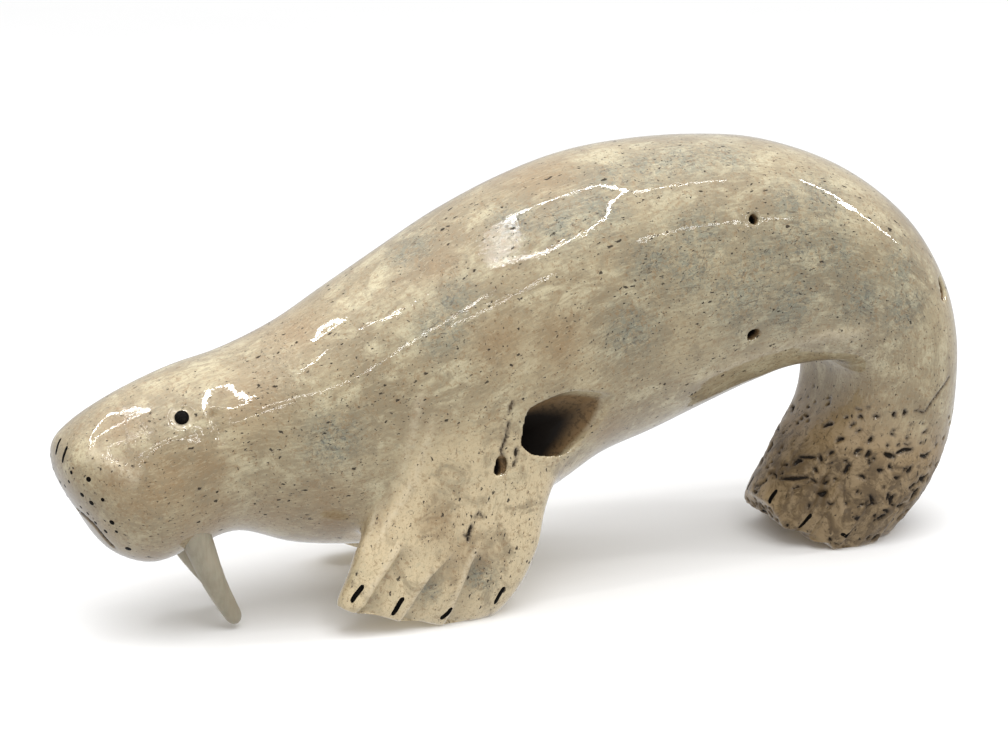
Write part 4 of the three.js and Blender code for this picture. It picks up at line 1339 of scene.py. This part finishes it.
# Thin lights overhead: name, height, the places they run through, width, all in metres, and how bright
# each is beside the others.
STRIP_LIGHTS = [
    ("ring_light", 0.8, [(-0.12, -0.105), (0.11, -0.11), (0.2, -0.266), (0.152, -0.4), (0.154, -0.608),
                         (0.077, -0.75), (-0.035, -0.821), (-0.15, -0.644)], 0.009, 1.0),
    ("side_panel", 0.8, [(-0.15, -0.62), (-0.135, -0.3), (-0.12, -0.105)], 0.012, 0.9),
    ("left_strip", 0.8, [(-0.378, -0.366), (-0.28, -0.5)], 0.008, 0.7),
    ("right_strip", 0.8, [(0.229, -0.319), (0.465, -0.27)], 0.008, 0.5),
    ("low_left_strip", 0.8, [(-0.19, -1.422), (0.084, -1.376)], 0.01, 0.4),
    ("low_right_strip", 0.8, [(0.49, -1.308), (1.134, -1.2)], 0.01, 0.4),
    ("neck_strip", 0.8, [(-0.125, -1.085), (-0.171, -1.152), (-0.282, -1.334), (-0.432, -1.621)], 0.01, 0.4),
    ("tail_strip", 0.8, [(0.776, -0.102), (1.285, -0.367), (2.461, -0.678)], 0.02, 0.8),
    ("tail_panel", 0.8, [(1.05, -0.29), (1.2, -0.38)], 0.1, 0.6),
    ("head_ring", 0.3, [(-0.285, 0.028), (-0.23, 0.109), (-0.203, 0.143), (-0.168, 0.047), (-0.157, -0.027),
                        (-0.191, -0.007), (-0.285, 0.028)], 0.0035, 1.0),
]


def add_strip(name, start, end, wide, target, brightness):
    """A thin light between two places, turned to face the carving."""
    start, end = Vector(start), Vector(end)
    middle = (start + end) / 2
    along = (end - start).normalized()
    back = middle - target
    back = (back - along * back.dot(along)).normalized()
    light = bpy.data.lights.new(name, "AREA")
    light.shape = "RECTANGLE"
    light.size = (end - start).length
    light.size_y = wide
    light.energy = brightness * np.pi * light.size * wide
    lamp = bpy.data.objects.new(name, light)
    lamp.location = middle
    lamp.visible_camera = False
    lamp.rotation_euler = Matrix((along, back.cross(along), back)).transposed().to_euler()
    bpy.context.scene.collection.objects.link(lamp)


def white_room(stage):
    """A white world: brightest overhead, dimmer at the sides, and a little brighter again from below."""
    world = bpy.data.worlds.new("white_room")
    world.use_nodes = True
    s = Nodes(world.node_tree)
    facing = s.node("ShaderNodeTexCoord").outputs["Generated"]
    up = s.node("ShaderNodeSeparateXYZ", {0: facing}).outputs["Z"]
    overhead = s.math("POWER", s.math("MAXIMUM", up, 0), stage.gather)
    light = s.math("MULTIPLY_ADD", overhead, stage.sky - stage.horizon, stage.horizon)
    light = s.math("MULTIPLY_ADD", s.math("MINIMUM", up, 0), -stage.bounce, light)
    background = world.node_tree.nodes["Background"]
    background.inputs["Color"].default_value = (1, 1, 1, 1)
    s.join(light, background.inputs["Strength"])
    return world


def dress(piece, node, material):
    """Gives a new piece its material, its body and the node that it stands for."""
    piece.data.materials.clear()
    piece.data.materials.append(material)
    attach(piece, "root")
    if node:
        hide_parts(node)


def settings(context):
    scene = context.scene
    return scene.carving_sizes, scene.carving_colours


def inlay_setting(context):
    """The sizes, the finished bone's surface and the baleen, for the pieces that are set into the bone."""
    sizes, colours = settings(context)
    tree = surface_tree(bpy.data.objects["carved_bone"])
    return sizes, tree, bpy.data.materials.get("black_baleen") or baleen_material(colours)


# Operators

class CARVING_OT_bone(bpy.types.Operator):
    """Carves the walrus itself from one piece of jawbone"""

    bl_idname = "carving.bone"
    bl_label = "Carved bone"

    def cut(self, piece, cutters):
        for cutter in cutters:
            apply_modifier(piece, "BOOLEAN", operation="DIFFERENCE", solver="MANIFOLD", object=cutter)
            bpy.data.objects.remove(cutter)

    def execute(self, context):
        sizes, colours = settings(context)
        piece = blank_carving()
        apply_modifier(piece, "REMESH", mode="VOXEL", voxel_size=sizes.blank_grid * MM)
        points = relax(points_of(piece), edges_of(piece), 0.5, 6)
        set_points(piece, soften_joins(points, edges_of(piece), sizes))
        soles = [
            sole_cutter(FRONT_SOLE, -60, 0, FRONT_SET_BACK[LEFT]),
            sole_cutter(FRONT_SOLE, 0, 60, FRONT_SET_BACK[RIGHT]),
            sole_cutter(HIND_SOLE, -60, 60),
        ]
        self.cut(piece, soles)
        uncut = surface_tree(piece)
        self.cut(piece, [canal_cutter()] + [hole_cutter(hole) for hole in SMALL_HOLES])
        apply_modifier(piece, "REMESH", mode="VOXEL", voxel_size=sizes.grid * MM)
        if len(piece.data.polygons) < 1000:
            operator_failed("the carved bone")
        points = points_of(piece)
        mouth = np.array(CANAL_MOUTH + CANAL_MOUTH[:1])
        rim, _ = distance_to_line(points, mouth)
        for hole in SMALL_HOLES:
            rim = np.minimum(rim, gap_from(points, hole["at"]) - hole["long"])
        amount = 0.5 * smooth_step(1.0, 3.5, rim) + 0.04
        set_points(piece, relax(points, edges_of(piece), amount, sizes.polish_rounds))
        smooth = surface_tree(piece)
        marks = worn_marks(smooth)
        set_points(piece, carve(points_of(piece), normals_of(piece), smooth, marks, sizes))
        set_points(piece, relax(points_of(piece), edges_of(piece), 0.25, 1))
        count = sum(len(face.vertices) - 2 for face in piece.data.polygons)
        keep_fine(piece, marks, smooth)
        apply_modifier(piece, "DECIMATE", ratio=min(1.0, sizes.triangles / count), vertex_group="coarser")
        mark_bone(piece, uncut, marks)
        piece.data.shade_smooth()
        dress(piece, "carved_jawbone", bone_material(colours, sizes))
        return {"FINISHED"}


class CARVING_OT_tusks(bpy.types.Operator):
    """Makes the two ivory tusks under the muzzle"""

    bl_idname = "carving.tusks"
    bl_label = "Tusks"

    def execute(self, context):
        _, colours = settings(context)
        material = ivory_material(colours)
        for side in SIDES:
            dress(tusk_piece(side), f"tusk_{SIDE_NAME[side]}", material)
        return {"FINISHED"}


class CARVING_OT_eyes(bpy.types.Operator):
    """Sets a round baleen plug in each eye"""

    bl_idname = "carving.eyes"
    bl_label = "Eyes"

    def execute(self, context):
        sizes, tree, material = inlay_setting(context)
        for side in SIDES:
            hit, normal = from_side(tree, EYE_PLACE, side)
            piece = round_inlay(f"eye_plug_{SIDE_NAME[side]}", hit, normal, sizes.eye_radius, 0.42, 2.6)
            dress(piece, f"eye_{SIDE_NAME[side]}", material)
        return {"FINISHED"}


class CARVING_OT_nostrils(bpy.types.Operator):
    """Sets a baleen strip in each nostril"""

    bl_idname = "carving.nostrils"
    bl_label = "Nostrils"

    def execute(self, context):
        _, tree, material = inlay_setting(context)
        for side in SIDES:
            hit, normal = from_muzzle(tree, *NOSTRIL_PLACES[side], side)
            name = f"nostril_strip_{SIDE_NAME[side]}"
            piece = strip_inlay(name, tree, hit, normal, 14, 4.4, 1.1, 5 + side)
            dress(piece, f"nostril_{SIDE_NAME[side]}", material)
        return {"FINISHED"}


class CARVING_OT_claws(bpy.types.Operator):
    """Sets the baleen claws in all four flippers"""

    bl_idname = "carving.claws"
    bl_label = "Claws"

    def execute(self, context):
        sizes, tree, material = inlay_setting(context)
        for side in SIDES:
            for kind, claws in (("front", FRONT_CLAWS), ("hind", HIND_CLAWS)):
                back = FRONT_SET_BACK[side] if kind == "front" else 0
                for i, (place, length, lean, looks) in enumerate(claws, 1):
                    x, y, z = place
                    hit, normal = from_side(tree, (x + back, y, z), side, looks)
                    name = f"{kind}_claw_strip_{SIDE_NAME[side]}_{i}"
                    seed = 10 * i + side + (100 if kind == "hind" else 0)
                    piece = strip_inlay(name, tree, hit, normal, lean, length, sizes.claw_width, seed)
                    dress(piece, f"{kind}_claw_{SIDE_NAME[side]}_{i}", material)
        return {"FINISHED"}


class CARVING_OT_whiskers(bpy.types.Operator):
    """Fills the drilled whisker pits of the muzzle"""

    bl_idname = "carving.whiskers"
    bl_label = "Whisker pits"

    def execute(self, context):
        _, tree, material = inlay_setting(context)
        for side in SIDES:
            for i, (aside, up, size) in enumerate(WHISKER_PLACES, 1):
                hit, normal = from_muzzle(tree, aside, up, side)
                name = f"whisker_pit_{SIDE_NAME[side]}_{i}"
                piece = round_inlay(name, hit, normal, size * 0.5, 0.06, 1.0, 4, 14)
                dress(piece, None, material)
        return {"FINISHED"}


class CARVING_OT_stage(bpy.types.Operator):
    """Sets the pale floor, the soft lights and the camera"""

    bl_idname = "carving.stage"
    bl_label = "Stage"

    def execute(self, context):
        scene, stage = context.scene, context.scene.carving_stage
        corners = [(-1, -1), (1, -1), (1, 1), (-1, 1)]
        places = [(x * FLOOR_REACH, y * FLOOR_REACH, 0) for x, y in corners]
        floor = mesh_object("floor", places, [(0, 1, 2, 3)])
        floor.data.materials.append(floor_material(scene.carving_colours))
        floor.visible_diffuse = False
        floor.visible_glossy = False
        scene.world = white_room(stage)

        target = Vector(stage.looks_at)
        for name, height, line, wide, share in STRIP_LIGHTS:
            for i, (start, end) in enumerate(zip(line[:-1], line[1:]), 1):
                add_strip(f"{name}_{i}", (*start, height), (*end, height), wide, target, stage.strip * share)

        azimuth, elevation = np.radians(stage.azimuth), np.radians(stage.elevation)
        level = np.cos(elevation)
        back = Vector((np.sin(azimuth) * level, -np.cos(azimuth) * level, np.sin(elevation)))
        view = bpy.data.cameras.new("photo_view")
        view.lens = stage.lens
        view.sensor_width = SENSOR_WIDTH
        view.sensor_fit = "HORIZONTAL"
        view.dof.use_dof = False
        camera = bpy.data.objects.new("photo_view", view)
        camera.location = target + back * stage.distance
        camera.rotation_euler = back.to_track_quat("Z", "Y").to_euler()
        scene.collection.objects.link(camera)
        scene.camera = camera
        scene.view_settings.view_transform = "Standard"
        return {"FINISHED"}


class CARVING_PT_sidebar(bpy.types.Panel):
    """Lists the pieces of the carving and their settings"""

    bl_idname = "CARVING_PT_sidebar"
    bl_label = "Carved Walrus"
    bl_space_type = "VIEW_3D"
    bl_region_type = "UI"
    bl_category = "Carving"

    def draw(self, context):
        layout = self.layout
        for operator in OPERATORS:
            layout.operator(operator.bl_idname)
        for group in ("carving_sizes", "carving_colours", "carving_stage"):
            box = layout.box()
            values = getattr(context.scene, group)
            for name in values.__annotations__:
                box.prop(values, name)


OPERATORS = (
    CARVING_OT_bone,
    CARVING_OT_tusks,
    CARVING_OT_eyes,
    CARVING_OT_nostrils,
    CARVING_OT_claws,
    CARVING_OT_whiskers,
    CARVING_OT_stage,
)
GROUPS = {"carving_sizes": CarvingSizes, "carving_colours": CarvingColours, "carving_stage": StageSettings}


def register():
    for kind in (*GROUPS.values(), *OPERATORS, CARVING_PT_sidebar):
        bpy.utils.register_class(kind)
    for name, kind in GROUPS.items():
        setattr(bpy.types.Scene, name, bpy.props.PointerProperty(type=kind))


def unregister():
    for name in GROUPS:
        delattr(bpy.types.Scene, name)
    for kind in reversed((*GROUPS.values(), *OPERATORS, CARVING_PT_sidebar)):
        bpy.utils.unregister_class(kind)


def main():
    register()
    bpy.ops.carving.bone()
    bpy.ops.carving.tusks()
    bpy.ops.carving.eyes()
    bpy.ops.carving.nostrils()
    bpy.ops.carving.claws()
    bpy.ops.carving.whiskers()
    bpy.ops.carving.stage()


if __name__ == "__main__":
    main()
